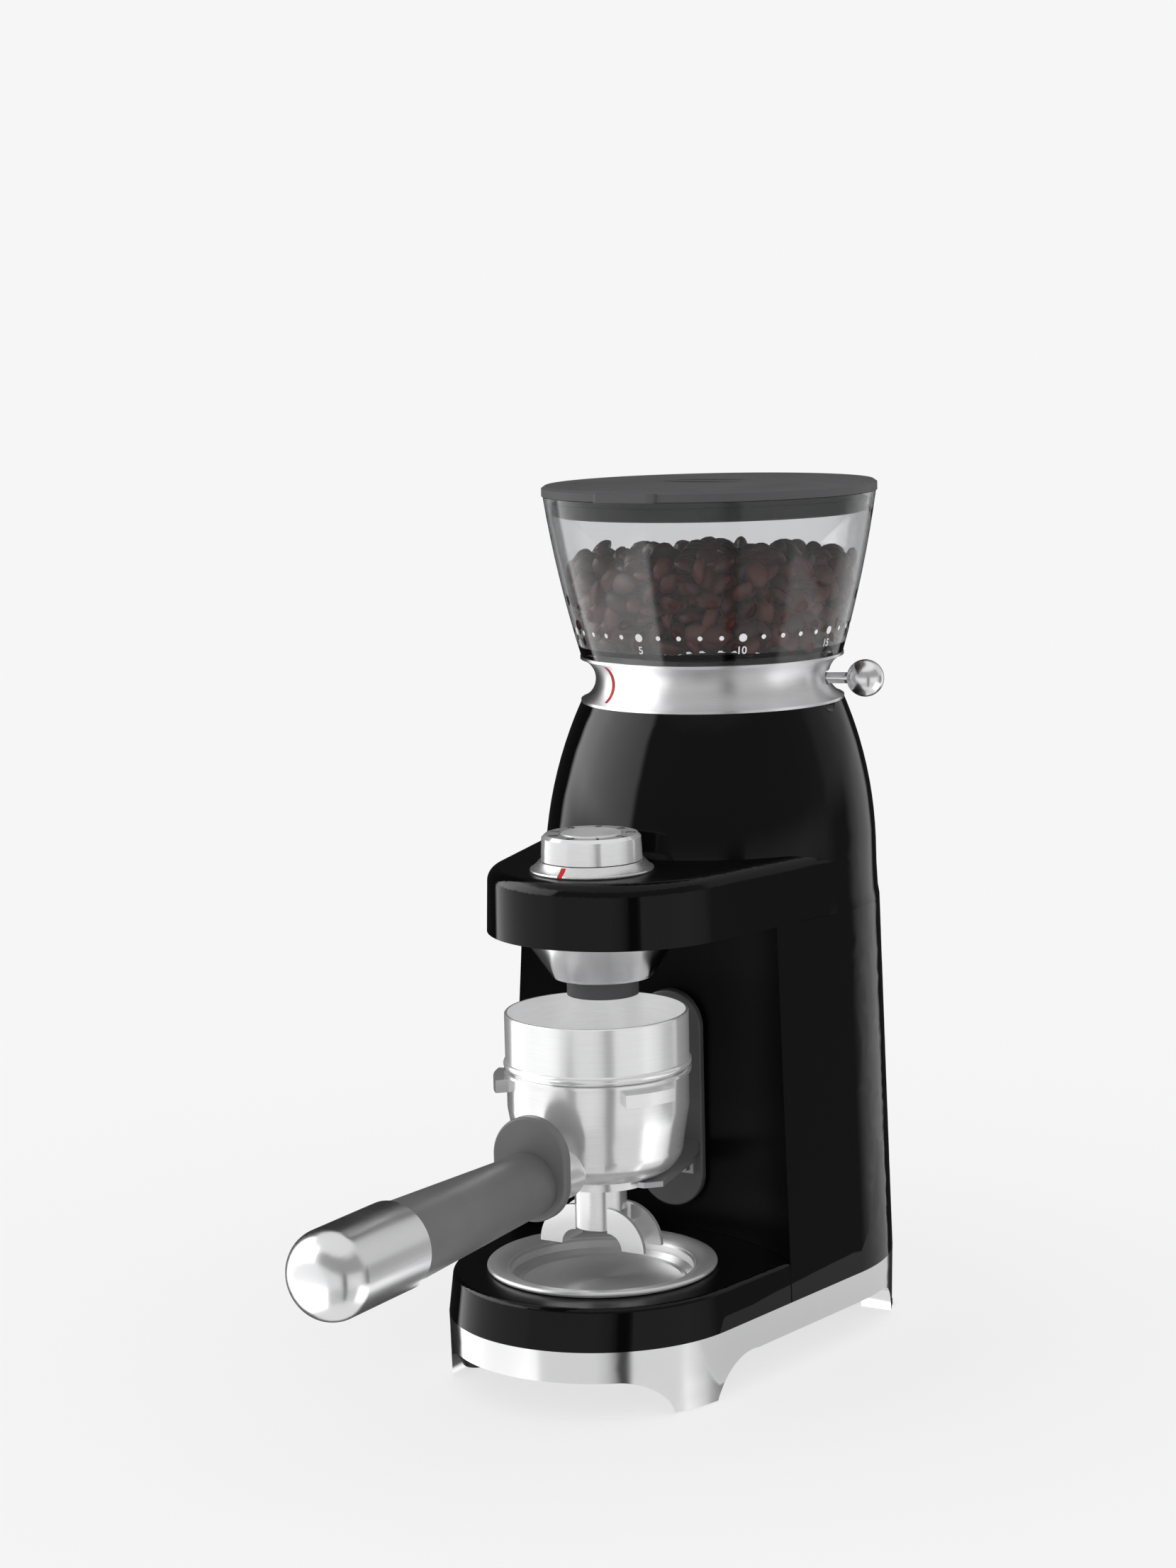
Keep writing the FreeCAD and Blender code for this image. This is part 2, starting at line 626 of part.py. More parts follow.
def hopper():
    w = HOPPER_WALL
    floor = HOPPER_FLOOR_Z
    drop = HOPPER_FLOOR_DROP
    neck_in = NECK_R - NECK_WALL
    foot_in = hopper_wall_radius(floor) - w
    steps = [(HOPPER_FOOT_R - w, HOPPER_Z), (HOPPER_FOOT_R, HOPPER_Z),
             ((HOPPER_MID_R, HOPPER_MID_Z), (HOPPER_MOUTH_R, HOPPER_TOP_Z)),
             (HOPPER_MOUTH_R - w, HOPPER_TOP_Z), ((HOPPER_MID_R - w, HOPPER_MID_Z), (foot_in, floor)),
             (neck_in, floor - drop), (neck_in, NECK_END_Z), (NECK_R, NECK_END_Z),
             (NECK_R, floor - drop - w), (foot_in, floor - w)]
    bowl = revolved(steps)
    plate = disc(neck_in + 0.5, NECK_END_Z, NECK_END_Z + NECK_PLATE_T)
    plate = plate.cut(windows(NECK_END_Z, NECK_END_Z + NECK_PLATE_T))
    tabs = []
    for side in (-1, 1):
        x0, x1 = sorted((side * (NECK_R - 0.5), side * (NECK_R + 2.6)))
        tabs.append(block(x0, x1, -DRIVE_TAB / 2, DRIVE_TAB / 2, NECK_END_Z, NECK_END_Z + 6))
    return union([bowl, plate] + tabs)


def hopper_shutter():
    z0 = NECK_END_Z + NECK_PLATE_T + SEAT_GAP
    plate = disc(NECK_R - NECK_WALL - SEAT_GAP, z0, z0 + NECK_PLATE_T)
    plate = plate.cut(windows(z0, z0 + NECK_PLATE_T))
    return union([plate, disc(5.0, z0, z0 + 4.0)])


def lid_seat():
    return HOPPER_TOP_Z + SEAT_GAP


def lid():
    z1 = LID_TOP_Z
    z0 = lid_seat()
    plate = revolved([(0, z0), (LID_R, z0), (LID_R, z1 - 1.6), (LID_R - 1.6, z1 - 0.5),
                      (LID_RING_R + 1.2, z1), (LID_RING_R, z1 - 0.5), (LID_RING_R - 1.2, z1), (0, z1)])
    tab = block(-LID_TAB_HALF, LID_TAB_HALF, -LID_R - LID_TAB_REACH, -LID_R + 8, z0, z1 - 1.2)
    tab = round_edges(tab, 3.0, lambda e: e.BoundBox.ZLength > 2 and e.BoundBox.YMax < -LID_R)
    skirt_r = HOPPER_MOUTH_R - HOPPER_WALL - 4.0
    skirt = tube(skirt_r, skirt_r - 2.0, z0 - LID_SKIRT_DROP, z0 + 1)
    whole = union([plate, tab, skirt])
    scoop_r = (GRIP_HALF ** 2 + (GRIP_WIDE / 2) ** 2) / GRIP_WIDE
    lens = disc(scoop_r, z1 - GRIP_DEEP, z1 + 1, 0, scoop_r - GRIP_WIDE / 2)
    lens = lens.common(disc(scoop_r, z1 - GRIP_DEEP, z1 + 1, 0, GRIP_WIDE / 2 - scoop_r))
    bar = block(-GRIP_HALF, GRIP_HALF, -GRIP_BAR / 2, GRIP_BAR / 2, z1 - GRIP_DEEP - 1, z1 + 2)
    return whole.cut(lens.cut(bar))


def lid_seal():
    outer = HOPPER_MOUTH_R - HOPPER_WALL - 1.4
    inner = HOPPER_MOUTH_R - HOPPER_WALL - 4.0
    z0 = lid_seat() - LID_SKIRT_DROP + 1.0
    return tube(outer, inner, z0, z0 + 5.0)


# ---------------------------------------------------------------- burr set


def burr_carrier():
    z0, z1 = RING_BURR_Z0, RING_BURR_Z1
    bore = NECK_R + SEAT_GAP
    throat = NECK_R - NECK_WALL
    step = z1 + CARRIER_LIP_T
    steps = [(BURR_R, z0), (CARRIER_R, z0), (CARRIER_R, CARRIER_TOP_Z), (bore, CARRIER_TOP_Z),
             (bore, NECK_END_Z - 3), (throat - 6, step), (throat - 6, z1), (BURR_R, z1)]
    ring = revolved(steps)
    reach = NECK_R + 2.6 + SEAT_GAP
    half = DRIVE_TAB / 2 + SEAT_GAP
    return ring.cut(block(-reach, reach, -half, half, NECK_END_Z - 2, CARRIER_TOP_Z + 1))


def cone_profile(z):
    """Radius of the inner burr's cone at height z."""
    return CONE_FOOT_R + (CONE_TOP_R - CONE_FOOT_R) * (z - CONE_Z0) / (CONE_Z1 - CONE_Z0)


def helical_cuts(count, r0, r1, z0, z1, wide, deep, twist):
    """Straight slanted grooves along a cone, cut as thin boxes between two radii."""
    cuts = []
    for i in range(count):
        turn = 360.0 * i / count
        a = polar(r0, turn, z0)
        b = polar(r1, turn + twist, z1)
        axis = b.sub(a)
        cuts.append(Part.makeCylinder(wide / 2, axis.Length, a, axis))
    return cuts


def ring_burr():
    top = cone_profile(RING_BURR_Z1) + BURR_GAP + 2.5
    foot = cone_profile(RING_BURR_Z0) + BURR_GAP + 0.25
    ring = revolved([(foot, RING_BURR_Z0), (BURR_R, RING_BURR_Z0), (BURR_R, RING_BURR_Z1),
                     (top, RING_BURR_Z1)])
    for groove in helical_cuts(12, foot + 0.2, top + 0.2, RING_BURR_Z0 - 1, RING_BURR_Z1 + 1, 2.0, 1, 20):
        ring = ring.cut(groove)
    return ring


def cone_burr():
    cone = revolved([(SHAFT_R, CONE_Z0), (CONE_FOOT_R, CONE_Z0), (CONE_TOP_R, CONE_Z1), (SHAFT_R, CONE_Z1)])
    for groove in helical_cuts(9, CONE_FOOT_R, CONE_TOP_R, CONE_Z0 - 1, CONE_Z1 + 1, 2.6, 1, -30):
        cone = cone.cut(groove)
    return cone


def sweeper():
    z1 = CONE_Z0
    hub = tube(11.0, SHAFT_R, SWEEPER_Z0, z1)
    arms = []
    for i in range(3):
        arm = block(-2, 2, -CHAMBER_R + 1.2, -9, SWEEPER_Z0, z1 - 2)
        arm.rotate(V(0, 0, 0), V(0, 0, 1), 60 + 120 * i)
        arms.append(arm)
    return union([hub] + arms)


def burr_nut():
    prism = Part.Face(Part.makePolygon([polar(7.5, 60 * i, CONE_Z1) for i in range(7)])).extrude(V(0, 0, 5))
    return prism.cut(disc(3.0, CONE_Z1 - 1, CONE_Z1 + 6))


def burr_shaft():
    main = disc(SHAFT_R, BURR_SHAFT_Z0, CONE_Z1)
    return main.fuse(disc(3.0, CONE_Z1, CONE_Z1 + 6.5)).removeSplitter()


def grind_chamber():
    z0 = CHAMBER_Z
    outer = CHAMBER_R + CHAMBER_WALL
    cup = disc(outer, z0, CHAMBER_TOP_Z)
    cup = cup.cut(disc(CHAMBER_R, z0 + CHAMBER_FLOOR, CHAMBER_TOP_Z + 1))
    cup = cup.cut(disc(SHAFT_R + SEAT_GAP, z0 - 1, z0 + CHAMBER_FLOOR + 1))
    half = CHUTE_HALF - CHUTE_WALL
    return cup.cut(block(-half, half, -outer - 1, 0, z0 + CHAMBER_FLOOR, RING_BURR_Z0 - 1).cut(
        disc(CHAMBER_R - 1, z0, CHAMBER_TOP_Z)))


def chute_outline(inset):
    """Side view of the chute: from the chamber's front down to the funnel's mouth."""
    top = RING_BURR_Z0 + 1 - inset
    low = CHAMBER_Z + CHAMBER_FLOOR - CHUTE_WALL + inset
    back = -CHAMBER_R + 4 + inset
    front = FUNNEL_Y + 16 + inset
    mouth = FLOOR_TOP_Z + FUNNEL_WALL + 0.4
    heel = FUNNEL_Y + 32 - inset
    knee = -CHAMBER_R - 4
    return [(back, top), (back, low), (knee, low), (heel, mouth + 1.0 + 1.5 * inset), (heel, mouth - inset),
            (front, mouth - inset), (front, KNOB_BOARD_Z + 5 - inset), (knee, top)]


def exit_chute():
    def at(half):
        return lambda p: V(-half, p[0], p[1])
    outer = extruded(chute_outline(0), at(CHUTE_HALF), V(2 * CHUTE_HALF, 0, 0))
    half = CHUTE_HALF - CHUTE_WALL
    inner = extruded(chute_outline(CHUTE_WALL), at(half), V(2 * half, 0, 0))
    duct = outer.cut(inner)
    return duct.cut(disc(CHAMBER_R + CHAMBER_WALL, 0, CHAMBER_TOP_Z + 9))


# ---------------------------------------------------------------- gear train and motor
def toothed(teeth, bore, z0, z1, x, y, phase):
    """Spur gear with straight-sided teeth, thinned for backlash."""
    m = GEAR_MODULE
    pitch_r = m * teeth / 2
    root, tip = pitch_r - 1.15 * m, pitch_r + 0.8 * m
    step = 2 * math.pi / teeth
    points = []
    for i in range(teeth):
        mid = math.radians(phase) + i * step
        for r, share in ((root, -0.34), (tip, -0.14), (tip, 0.14), (root, 0.34)):
            a = mid + share * step
            points.append(V(x + r * math.cos(a), y + r * math.sin(a), z0))
    points.append(points[0])
    gear = Part.Face(Part.makePolygon(points)).extrude(V(0, 0, z1 - z0))
    return gear.cut(disc(bore, z0 - 1, z1 + 1, x, y))


def drive_gear():
    gear = toothed(GEAR_TEETH, SHAFT_R, GEAR_Z, GEAR_Z + GEAR_T, 0, 0, 90)
    for i in range(5):
        gear = gear.cut(disc(3.4, GEAR_Z - 1, GEAR_Z + GEAR_T + 1, *polar(11.3, 72 * i)[:2]))
    return gear


def motor_pinion():
    phase = 270 + 180.0 / PINION_TEETH
    return toothed(PINION_TEETH, MOTOR_SHAFT_R, GEAR_Z - 0.5, GEAR_Z + GEAR_T + 0.5, 0, GEAR_CENTRES, phase)


def case_hull(inset):
    """Outline round the gear and the pinion, larger circle in front."""
    big = GEAR_MODULE * GEAR_TEETH / 2 + 2.5 + GEAR_CASE_WALL - inset
    small = GEAR_MODULE * PINION_TEETH / 2 + 6 + GEAR_CASE_WALL - inset
    return (0.0, big, GEAR_CENTRES, small)


def gear_case():
    hull = case_hull(0)
    case = hull_solid(hull, hull, CASE_Z0, CASE_Z1)
    bore = case_hull(GEAR_CASE_WALL)
    case = case.cut(hull_solid(bore, bore, CASE_Z0 + GEAR_CASE_WALL, CASE_Z1 + 1))
    seat = CASE_Z0 + GEAR_CASE_WALL
    case = case.fuse(tube(BEARING_R + 2, BEARING_R, seat, seat + BEARING_T))
    return case.cut(disc(MOTOR_SHAFT_R + 1.5, CASE_Z0 - 1, seat + 1, 0, GEAR_CENTRES)).removeSplitter()


def gear_cover():
    hull = case_hull(0)
    plate = hull_solid(hull, hull, CASE_Z1, CHAMBER_Z)
    collar_z = CASE_Z1 - BEARING_T + COVER_T
    plate = plate.fuse(disc(BEARING_R + 2, collar_z, CASE_Z1))
    plate = plate.cut(disc(BEARING_R, collar_z - 1, CHAMBER_Z - 1))
    return plate.cut(disc(SHAFT_R + 1.5, collar_z, CHAMBER_Z + 1)).removeSplitter()


def bearing(z0, shaft_r, outer, x=0.0, y=0.0):
    """Ball bearing as one solid ring with shallow grooves that mark its races."""
    ring = tube(outer, shaft_r + SHAFT_FIT, z0, z0 + BEARING_T, x, y)
    mid = (outer + shaft_r) / 2
    groove = tube(mid + 1.2, mid - 1.2, z0 - 1, z0 + 0.5, x, y)
    return ring.cut(groove)


def lower_bearing():
    return bearing(CASE_Z0 + GEAR_CASE_WALL, SHAFT_R, BEARING_R)


def upper_bearing():
    return bearing(CHAMBER_Z - 1 - BEARING_T, SHAFT_R, BEARING_R)


def chassis():
    z0, z1 = CHASSIS_Z, CHASSIS_Z + CHASSIS_T
    inset = WALL + SEAT_GAP
    plate = body_block(z0, z1, inset).cut(bay_cutter(0, SPLIT_Z + 9, inset))
    return plate.cut(disc(MOTOR_SHAFT_R + 1.5, z0 - 1, z1 + 1, 0, GEAR_CENTRES))


def damper_places():
    """Three mounts round the motor's axis."""
    places = []
    for i in range(3):
        p = polar(DAMPER_SPREAD, 60 + 120 * i, 0, GEAR_CENTRES)
        places.append((p.x, p.y))
    return places


def motor_mount():
    z0 = MOTOR_Z1
    plate = disc(MOTOR_R, z0, z0 + MOUNT_T, 0, GEAR_CENTRES)
    return plate.cut(disc(MOTOR_SHAFT_R + 1.5, z0 - 1, z0 + MOUNT_T + 1, 0, GEAR_CENTRES))


def motor_dampers():
    z0 = MOTOR_Z1 + MOUNT_T
    return [disc(5.0, z0, CHASSIS_Z, x, y) for x, y in damper_places()]


def motor_can():
    can = disc(MOTOR_R, MOTOR_Z0, MOTOR_Z1, 0, GEAR_CENTRES)
    can = can.cut(disc(MOTOR_R - MOTOR_WALL, MOTOR_Z0 - 1, MOTOR_Z1 - MOTOR_WALL, 0, GEAR_CENTRES))
    return can.cut(disc(MOTOR_SHAFT_R + SHAFT_FIT, MOTOR_Z0, MOTOR_Z1 + 1, 0, GEAR_CENTRES))


def motor_magnets():
    z0, z1 = MOTOR_Z0 + 12, MOTOR_Z1 - 8
    magnets = []
    for turn in (0, 180):
        arc = sector(MOTOR_R - MOTOR_WALL, z0, z1, turn - 60, 120)
        arc.translate(V(0, GEAR_CENTRES, 0))
        magnets.append(arc.cut(disc(ARMATURE_R + 2, z0 - 1, z1 + 1, 0, GEAR_CENTRES)))
    return magnets


def motor_end_bell():
    z0 = MOTOR_Z0 - 6
    bell = disc(MOTOR_R, z0, MOTOR_Z0, 0, GEAR_CENTRES)
    return bell.cut(disc(MOTOR_SHAFT_R + SHAFT_FIT, z0 - 1, MOTOR_Z0 + 1, 0, GEAR_CENTRES))


def motor_brushes():
    brushes = []
    for side in (-1, 1):
        x0, x1 = sorted((side * (COMMUTATOR_R + SEAT_GAP), side * (MOTOR_R - 5)))
        brushes.append(block(x0, x1, GEAR_CENTRES - 3, GEAR_CENTRES + 3, MOTOR_Z0, MOTOR_Z0 + 7))
    return brushes


def motor_shaft():
    return disc(MOTOR_SHAFT_R, MOTOR_Z0 - 18, GEAR_Z + GEAR_T + 0.5, 0, GEAR_CENTRES)


def motor_armature():
    z0, z1 = MOTOR_Z0 + 14, MOTOR_Z1 - 10
    core = disc(ARMATURE_R, z0, z1, 0, GEAR_CENTRES)
    for i in range(9):
        p = polar(ARMATURE_R, 40 * i, 0, GEAR_CENTRES)
        core = core.cut(disc(2.2, z0 - 1, z1 + 1, p.x, p.y))
    core = core.fuse(disc(COMMUTATOR_R, MOTOR_Z0 + 1, z0, 0, GEAR_CENTRES))
    return core.cut(disc(MOTOR_SHAFT_R, MOTOR_Z0, z1 + 1, 0, GEAR_CENTRES)).removeSplitter()


def cooling_fan():
    z0, z1 = MOTOR_Z0 - 17, MOTOR_Z0 - 8
    hub = tube(8.0, MOTOR_SHAFT_R, z0, z1, 0, GEAR_CENTRES)
    disc_plate = tube(28.0, MOTOR_SHAFT_R, z0, z0 + 1.5, 0, GEAR_CENTRES)
    blades = []
    for i in range(8):
        blade = block(-0.8, 0.8, -27, -7, z0, z1)
        blade.rotate(V(0, 0, 0), V(0, 0, 1), 45 * i)
        blade.translate(V(0, GEAR_CENTRES, 0))
        blades.append(blade)
    return union([hub, disc_plate] + blades)


# ---------------------------------------------------------------- electrics
def power_board():
    z0, z1 = POWER_BOARD_Z
    return block(-BOARD_X - 6, BOARD_X + 6, POWER_BOARD_Y - BOARD_T, POWER_BOARD_Y, z0, z1)


def board_parts():
    """Relay, capacitor and heat sink on the power board."""
    z0 = POWER_BOARD_Z[0]
    relay = block(-28, -10, POWER_BOARD_Y, POWER_BOARD_Y + 14, z0 + 10, z0 + 28)
    capacitor = rod_y(7.0, POWER_BOARD_Y, POWER_BOARD_Y + 16, 16, z0 + 24)
    sink = block(6, 30, POWER_BOARD_Y, POWER_BOARD_Y + 10, z0 + 46, z0 + 62)
    return [relay, capacitor, sink]


def knob_board():
    z0 = KNOB_BOARD_Z
    return block(-21, 21, KNOB_Y - 17, KNOB_Y + 15, z0, z0 + BOARD_T)


def encoder():
    z0 = KNOB_BOARD_Z + BOARD_T
    body = block(-8, 8, KNOB_Y - 8, KNOB_Y + 8, z0, z0 + 7)
    body = body.fuse(disc(KNOB_HOLE_R - SEAT_GAP, z0 + 7, PLATFORM_TOP_Z + 1, 0, KNOB_Y))
    return body.cut(disc(KNOB_SHAFT_R + SHAFT_FIT, z0 + 1, PLATFORM_TOP_Z + 2, 0, KNOB_Y)).removeSplitter()


def interlock_switch():
    x1 = -(CHAMBER_R + CHAMBER_WALL) - SEAT_GAP
    body = block(x1 - 8, x1, -9, 9, CHAMBER_TOP_Z - 14, CHAMBER_TOP_Z - 3)
    return body.fuse(disc(1.4, CHAMBER_TOP_Z - 3, CHAMBER_TOP_Z, x1 - 4, 0)).removeSplitter()


# ---------------------------------------------------------------- knob
def knob_ring():
    """Flared steel seat round the knob."""
    z0 = PLATFORM_TOP_Z
    r0, r1 = KNOB_RING_R, KNOB_R + 0.9
    steps = [(KNOB_HOLE_R + 4, z0), (r0 - 0.4, z0), ((r0, z0 + 0.7), (r0 - 0.7, z0 + 1.5)),
             ((r1 + 1.6, z0 + 2.9), (r1, z0 + KNOB_RING_H)), (r1 - 1.4, z0 + KNOB_RING_H),
             (r1 - 1.4, z0 + 2), (KNOB_HOLE_R + 4, z0 + 2)]
    return revolved(steps, KNOB_Y)


def dose_knob():
    z0, z1 = KNOB_BASE_Z, KNOB_TOP_Z
    bevel = 1.4
    well = BUTTON_R + 0.35
    floor = z1 - 6
    steps = [(KNOB_SHAFT_R, floor - 5), (7, floor - 5), (7, floor - 2), (KNOB_R - 2, floor - 2),
             (KNOB_R - 2, z0), (KNOB_R, z0), (KNOB_R - 0.5, z1 - bevel), (KNOB_R - 0.5 - bevel, z1),
             (well, z1), (well, floor), (KNOB_SHAFT_R, floor)]
    z2 = KNOB_BOARD_Z + BOARD_T + 1.5
    shaft = tube(KNOB_SHAFT_R, STEM_HOLE_R, z2, floor, 0, KNOB_Y)
    return revolved(steps, KNOB_Y).fuse(shaft).removeSplitter()


def start_button():
    z1 = KNOB_TOP_Z + 0.4
    steps = [(0, z1 - 3.6), (BUTTON_R, z1 - 3.6), (BUTTON_R, z1 - 0.5), (BUTTON_R - 0.5, z1), (0, z1)]
    cap = revolved(steps, KNOB_Y)
    stem = disc(STEM_HOLE_R - SEAT_GAP, KNOB_BOARD_Z + BOARD_T + 1 + BUTTON_TRAVEL + 0.4, z1 - 3, 0, KNOB_Y)
    return cap.fuse(stem).removeSplitter()


# ---------------------------------------------------------------- funnel and sleeve
def funnel():
    t = FUNNEL_WALL
    z0, z1 = FUNNEL_Z, FLOOR_TOP_Z
    steps = [(SLEEVE_R + SEAT_GAP, z0), (FUNNEL_MOUTH_R - 1.2, z0), ((FUNNEL_MOUTH_R - 0.3, z0 + 0.4),
             (FUNNEL_MOUTH_R + 0.3, z0 + 1.4)), (FUNNEL_TOP_R, z1), (FUNNEL_TOP_R + 3, z1),
             (FUNNEL_TOP_R + 3, z1 + t), (FUNNEL_TOP_R - t, z1 + t), (FUNNEL_MOUTH_R - t, z0 + 1.6),
             (SLEEVE_R + SEAT_GAP, z0 + 1.6)]
    return revolved(steps, FUNNEL_Y)


def outlet_sleeve():
    flange_z = FUNNEL_Z + 1.6 + 0.1
    steps = [(SLEEVE_R - 2.2, SLEEVE_Z), (SLEEVE_R, SLEEVE_Z), (SLEEVE_R, flange_z),
             (SLEEVE_R + 2.6, flange_z), (SLEEVE_R + 2.6, flange_z + 2), (SLEEVE_R - 2.2, flange_z + 2)]
    return revolved(steps, FUNNEL_Y)


# ---------------------------------------------------------------- portafilter
def dosing_ring():
    z0, z1 = RIM_Z + RIM_T + SEAT_GAP, RING_TOP_Z
    inner = RING_R - RING_WALL
    bead_r = RING_R + RING_BEAD
    bead_z = z0 + RING_BEAD_H
    steps = [(inner, z0), (bead_r - 0.4, z0), ((bead_r, (z0 + bead_z) / 2), (bead_r - 0.4, bead_z)),
             (RING_R, bead_z + 0.3), (RING_R, z1 - 0.5), (RING_R - 0.4, z1), (inner, z1)]
    return revolved(steps, PORTA_Y)


def portafilter_cup():
    t = CUP_WALL
    rim_in = BASKET_R + SEAT_GAP
    low_in = CUP_LOW_R - t
    steps = [(0, CUP_BOSS_Z), (CUP_BOSS_R, CUP_BOSS_Z), (CUP_BOSS_R, CUP_SHOULDER_Z),
             ((CUP_LOW_R - 3.6, CUP_SHOULDER_Z + 4.0), (CUP_LOW_R, CUP_LOW_Z)),
             (CUP_R, RIM_Z - 15), (CUP_R, RIM_Z), (RIM_R, RIM_Z), (RIM_R, RIM_Z + RIM_T - 1.2),
             (rim_in + 1.5, RIM_Z + RIM_T - 1.2), (rim_in, RIM_Z), (rim_in, RIM_Z - 14), (low_in, CUP_LOW_Z),
             ((low_in - 3.4, CUP_SHOULDER_Z + 6.0), (CUP_BOSS_R, CUP_SHOULDER_Z + t)),
             (0, CUP_SHOULDER_Z + t - 0.4)]
    cup = revolved(steps, PORTA_Y)
    drain = disc(4.0, CUP_BOSS_Z - 1, CUP_SHOULDER_Z + 5, 0, PORTA_Y)
    arm_y = PORTA_Y - CUP_LOW_R + 4
    arm_end = FLANGE_Y + FLANGE_T
    arm = turned_y([(0, arm_y), (13.0, arm_y), (9.5, arm_end), (0, arm_end)], HANDLE_Z)
    arm = arm.cut(disc(CUP_LOW_R - 1, 0, 200, 0, PORTA_Y))
    stud = rod_y(STUD_R, GRIP_END_Y - STUD_IN_CAP, arm_y - 6, 0, HANDLE_Z)
    return union([cup, arm, stud] + lugs()).cut(drain)


def lugs():
    """Three locking lugs under the rim."""
    z1 = RIM_Z - 1.4
    pieces = []
    for turn in LUG_TURNS:
        wedge = sector(LUG_R, z1 - LUG_T, z1, LUG_FROM + turn, LUG_TO - LUG_FROM)
        wedge.translate(V(0, PORTA_Y, 0))
        pieces.append(wedge.cut(disc(CUP_R - 1, 0, 200, 0, PORTA_Y)))
    return pieces


def filter_basket():
    z1 = RIM_Z + RIM_T - 1.2
    top = z1 + 1.2
    t = 0.8
    r = BASKET_R
    z0 = z1 - BASKET_DEEP
    steps = [(0, z0), (r - 6, z0), (r - 3, z0 + 3), (r, RIM_Z - 10), (r, z1), (r + 3.0, z1 + 0.1),
             (r + 3.0, top), (r - t, top), (r - t, RIM_Z - 10), (r - 3 - t, z0 + 3.4), (r - 6.4, z0 + t),
             (0, z0 + t)]
    return revolved(steps, PORTA_Y)


def spout_arm(side):
    """Open channel that leaves the neck sideways and bends down to its tip."""
    outer = SPOUT_OUT_X - SPOUT_BEND_X
    inner = outer - SPOUT_THICK
    half = SPOUT_WIDE / 2
    channel = 2.0
    place = V(0, PORTA_Y, 0)

    def quarter(r0, r1, y0, y1):
        steps = [(r0, y0), (r1, y0), (r1, y1), (r0, y1)]
        wire = outline(steps, lambda p: V(SPOUT_BEND_X + p[0], p[1], SPOUT_TIP_Z))
        return Part.Face(wire).revolve(V(SPOUT_BEND_X, 0, SPOUT_TIP_Z), V(0, -1, 0), 90)

    arm = quarter(inner, outer, -half, half)
    groove = quarter(inner + channel, outer + 9, -half + channel, half - channel)
    arm = arm.cut(groove)
    if side < 0:
        arm = arm.mirror(V(0, 0, 0), V(1, 0, 0))
    arm.translate(place)
    return arm


def spout():
    top = CUP_BOSS_Z
    neck = disc(NECK_BOSS_R, NECK_BOSS_Z, top, 0, PORTA_Y)
    body = union([neck, spout_arm(1), spout_arm(-1)])
    body = body.cut(disc(NECK_BOSS_R - 2.4, NECK_BOSS_Z + 2.4, top + 1, 0, PORTA_Y))
    for side in (-1, 1):
        x0, x1 = sorted((side * 6, side * (NECK_BOSS_R + 2)))
        z0 = SPOUT_TIP_Z + SPOUT_OUT_X - SPOUT_BEND_X - SPOUT_THICK + 2.2
        body = body.cut(block(x0, x1, PORTA_Y - 5, PORTA_Y + 5, z0, z0 + 7))
    return body


def handle_flange():
    """Upright oval guard between the cup and the grip."""
    r = FLANGE_HALF
    z0, z1 = HANDLE_Z - FLANGE_DOWN, HANDLE_Z + FLANGE_UP
    steps = [(-r, z0 + r), ((0, z0), (r, z0 + r)), (r, z1 - r), ((0, z1), (-r, z1 - r))]
    plate = extruded(steps, lambda p: V(p[0], FLANGE_Y, p[1]), V(0, FLANGE_T, 0))
    plate = round_edges(plate, 1.2, lambda e: e.BoundBox.YMax < FLANGE_Y + 0.01)
    return plate.cut(rod_y(STUD_R, FLANGE_Y - 1, FLANGE_Y + FLANGE_T + 1, 0, HANDLE_Z))


def handle_grip():
    steps = [(STUD_R, FLANGE_Y), (GRIP_R0, FLANGE_Y), (GRIP_R1, GRIP_END_Y), (STUD_R, GRIP_END_Y)]
    return turned_y(steps, HANDLE_Z)


def handle_cap():
    """End cap whose rounding runs into the wide arc of its end without a crease."""
    end = CAP_END_Y
    inset = CAP_R - CAP_ROUND
    depth = math.sqrt((CAP_DOME_R - CAP_ROUND) ** 2 - inset ** 2)
    lean = math.atan2(inset, depth)
    half = (lean + math.pi / 2) / 2

    def on_dome(angle):
        return (CAP_DOME_R * math.sin(angle), end + CAP_DOME_R * (1 - math.cos(angle)))

    def on_round(angle):
        return (inset + CAP_ROUND * math.sin(angle), end + CAP_DOME_R - depth - CAP_ROUND * math.cos(angle))

    steps = [(0, GRIP_END_Y), (CAP_R - 0.8, GRIP_END_Y), (CAP_R, GRIP_END_Y - 1.2), on_round(math.pi / 2),
             (on_round(half), on_dome(lean)), (on_dome(lean / 2), (0, end))]
    cap = turned_y(steps, HANDLE_Z)
    return cap.cut(rod_y(STUD_R, GRIP_END_Y - STUD_IN_CAP, GRIP_END_Y + 1, 0, HANDLE_Z))


# ---------------------------------------------------------------- fork, panel, dish
def bracket_panel():
    """Obround plate on the bay's concave wall."""
    r = PANEL_HALF
    z0, z1 = PANEL_Z0, PANEL_Z1
    steps = [(-r, z0 + r), ((0, z0), (r, z0 + r)), (r, z1 - r), ((0, z1), (-r, z1 - r))]
    plate = extruded(steps, lambda p: V(p[0], PANEL_FACE_Y, p[1]), V(0, 10, 0))
    plate = round_edges(plate, 1.0, lambda e: e.BoundBox.YMax < PANEL_FACE_Y + 0.01)
    return plate.common(disc(BAY_R, z0 - 1, z1 + 1, 0, BAY_Y))


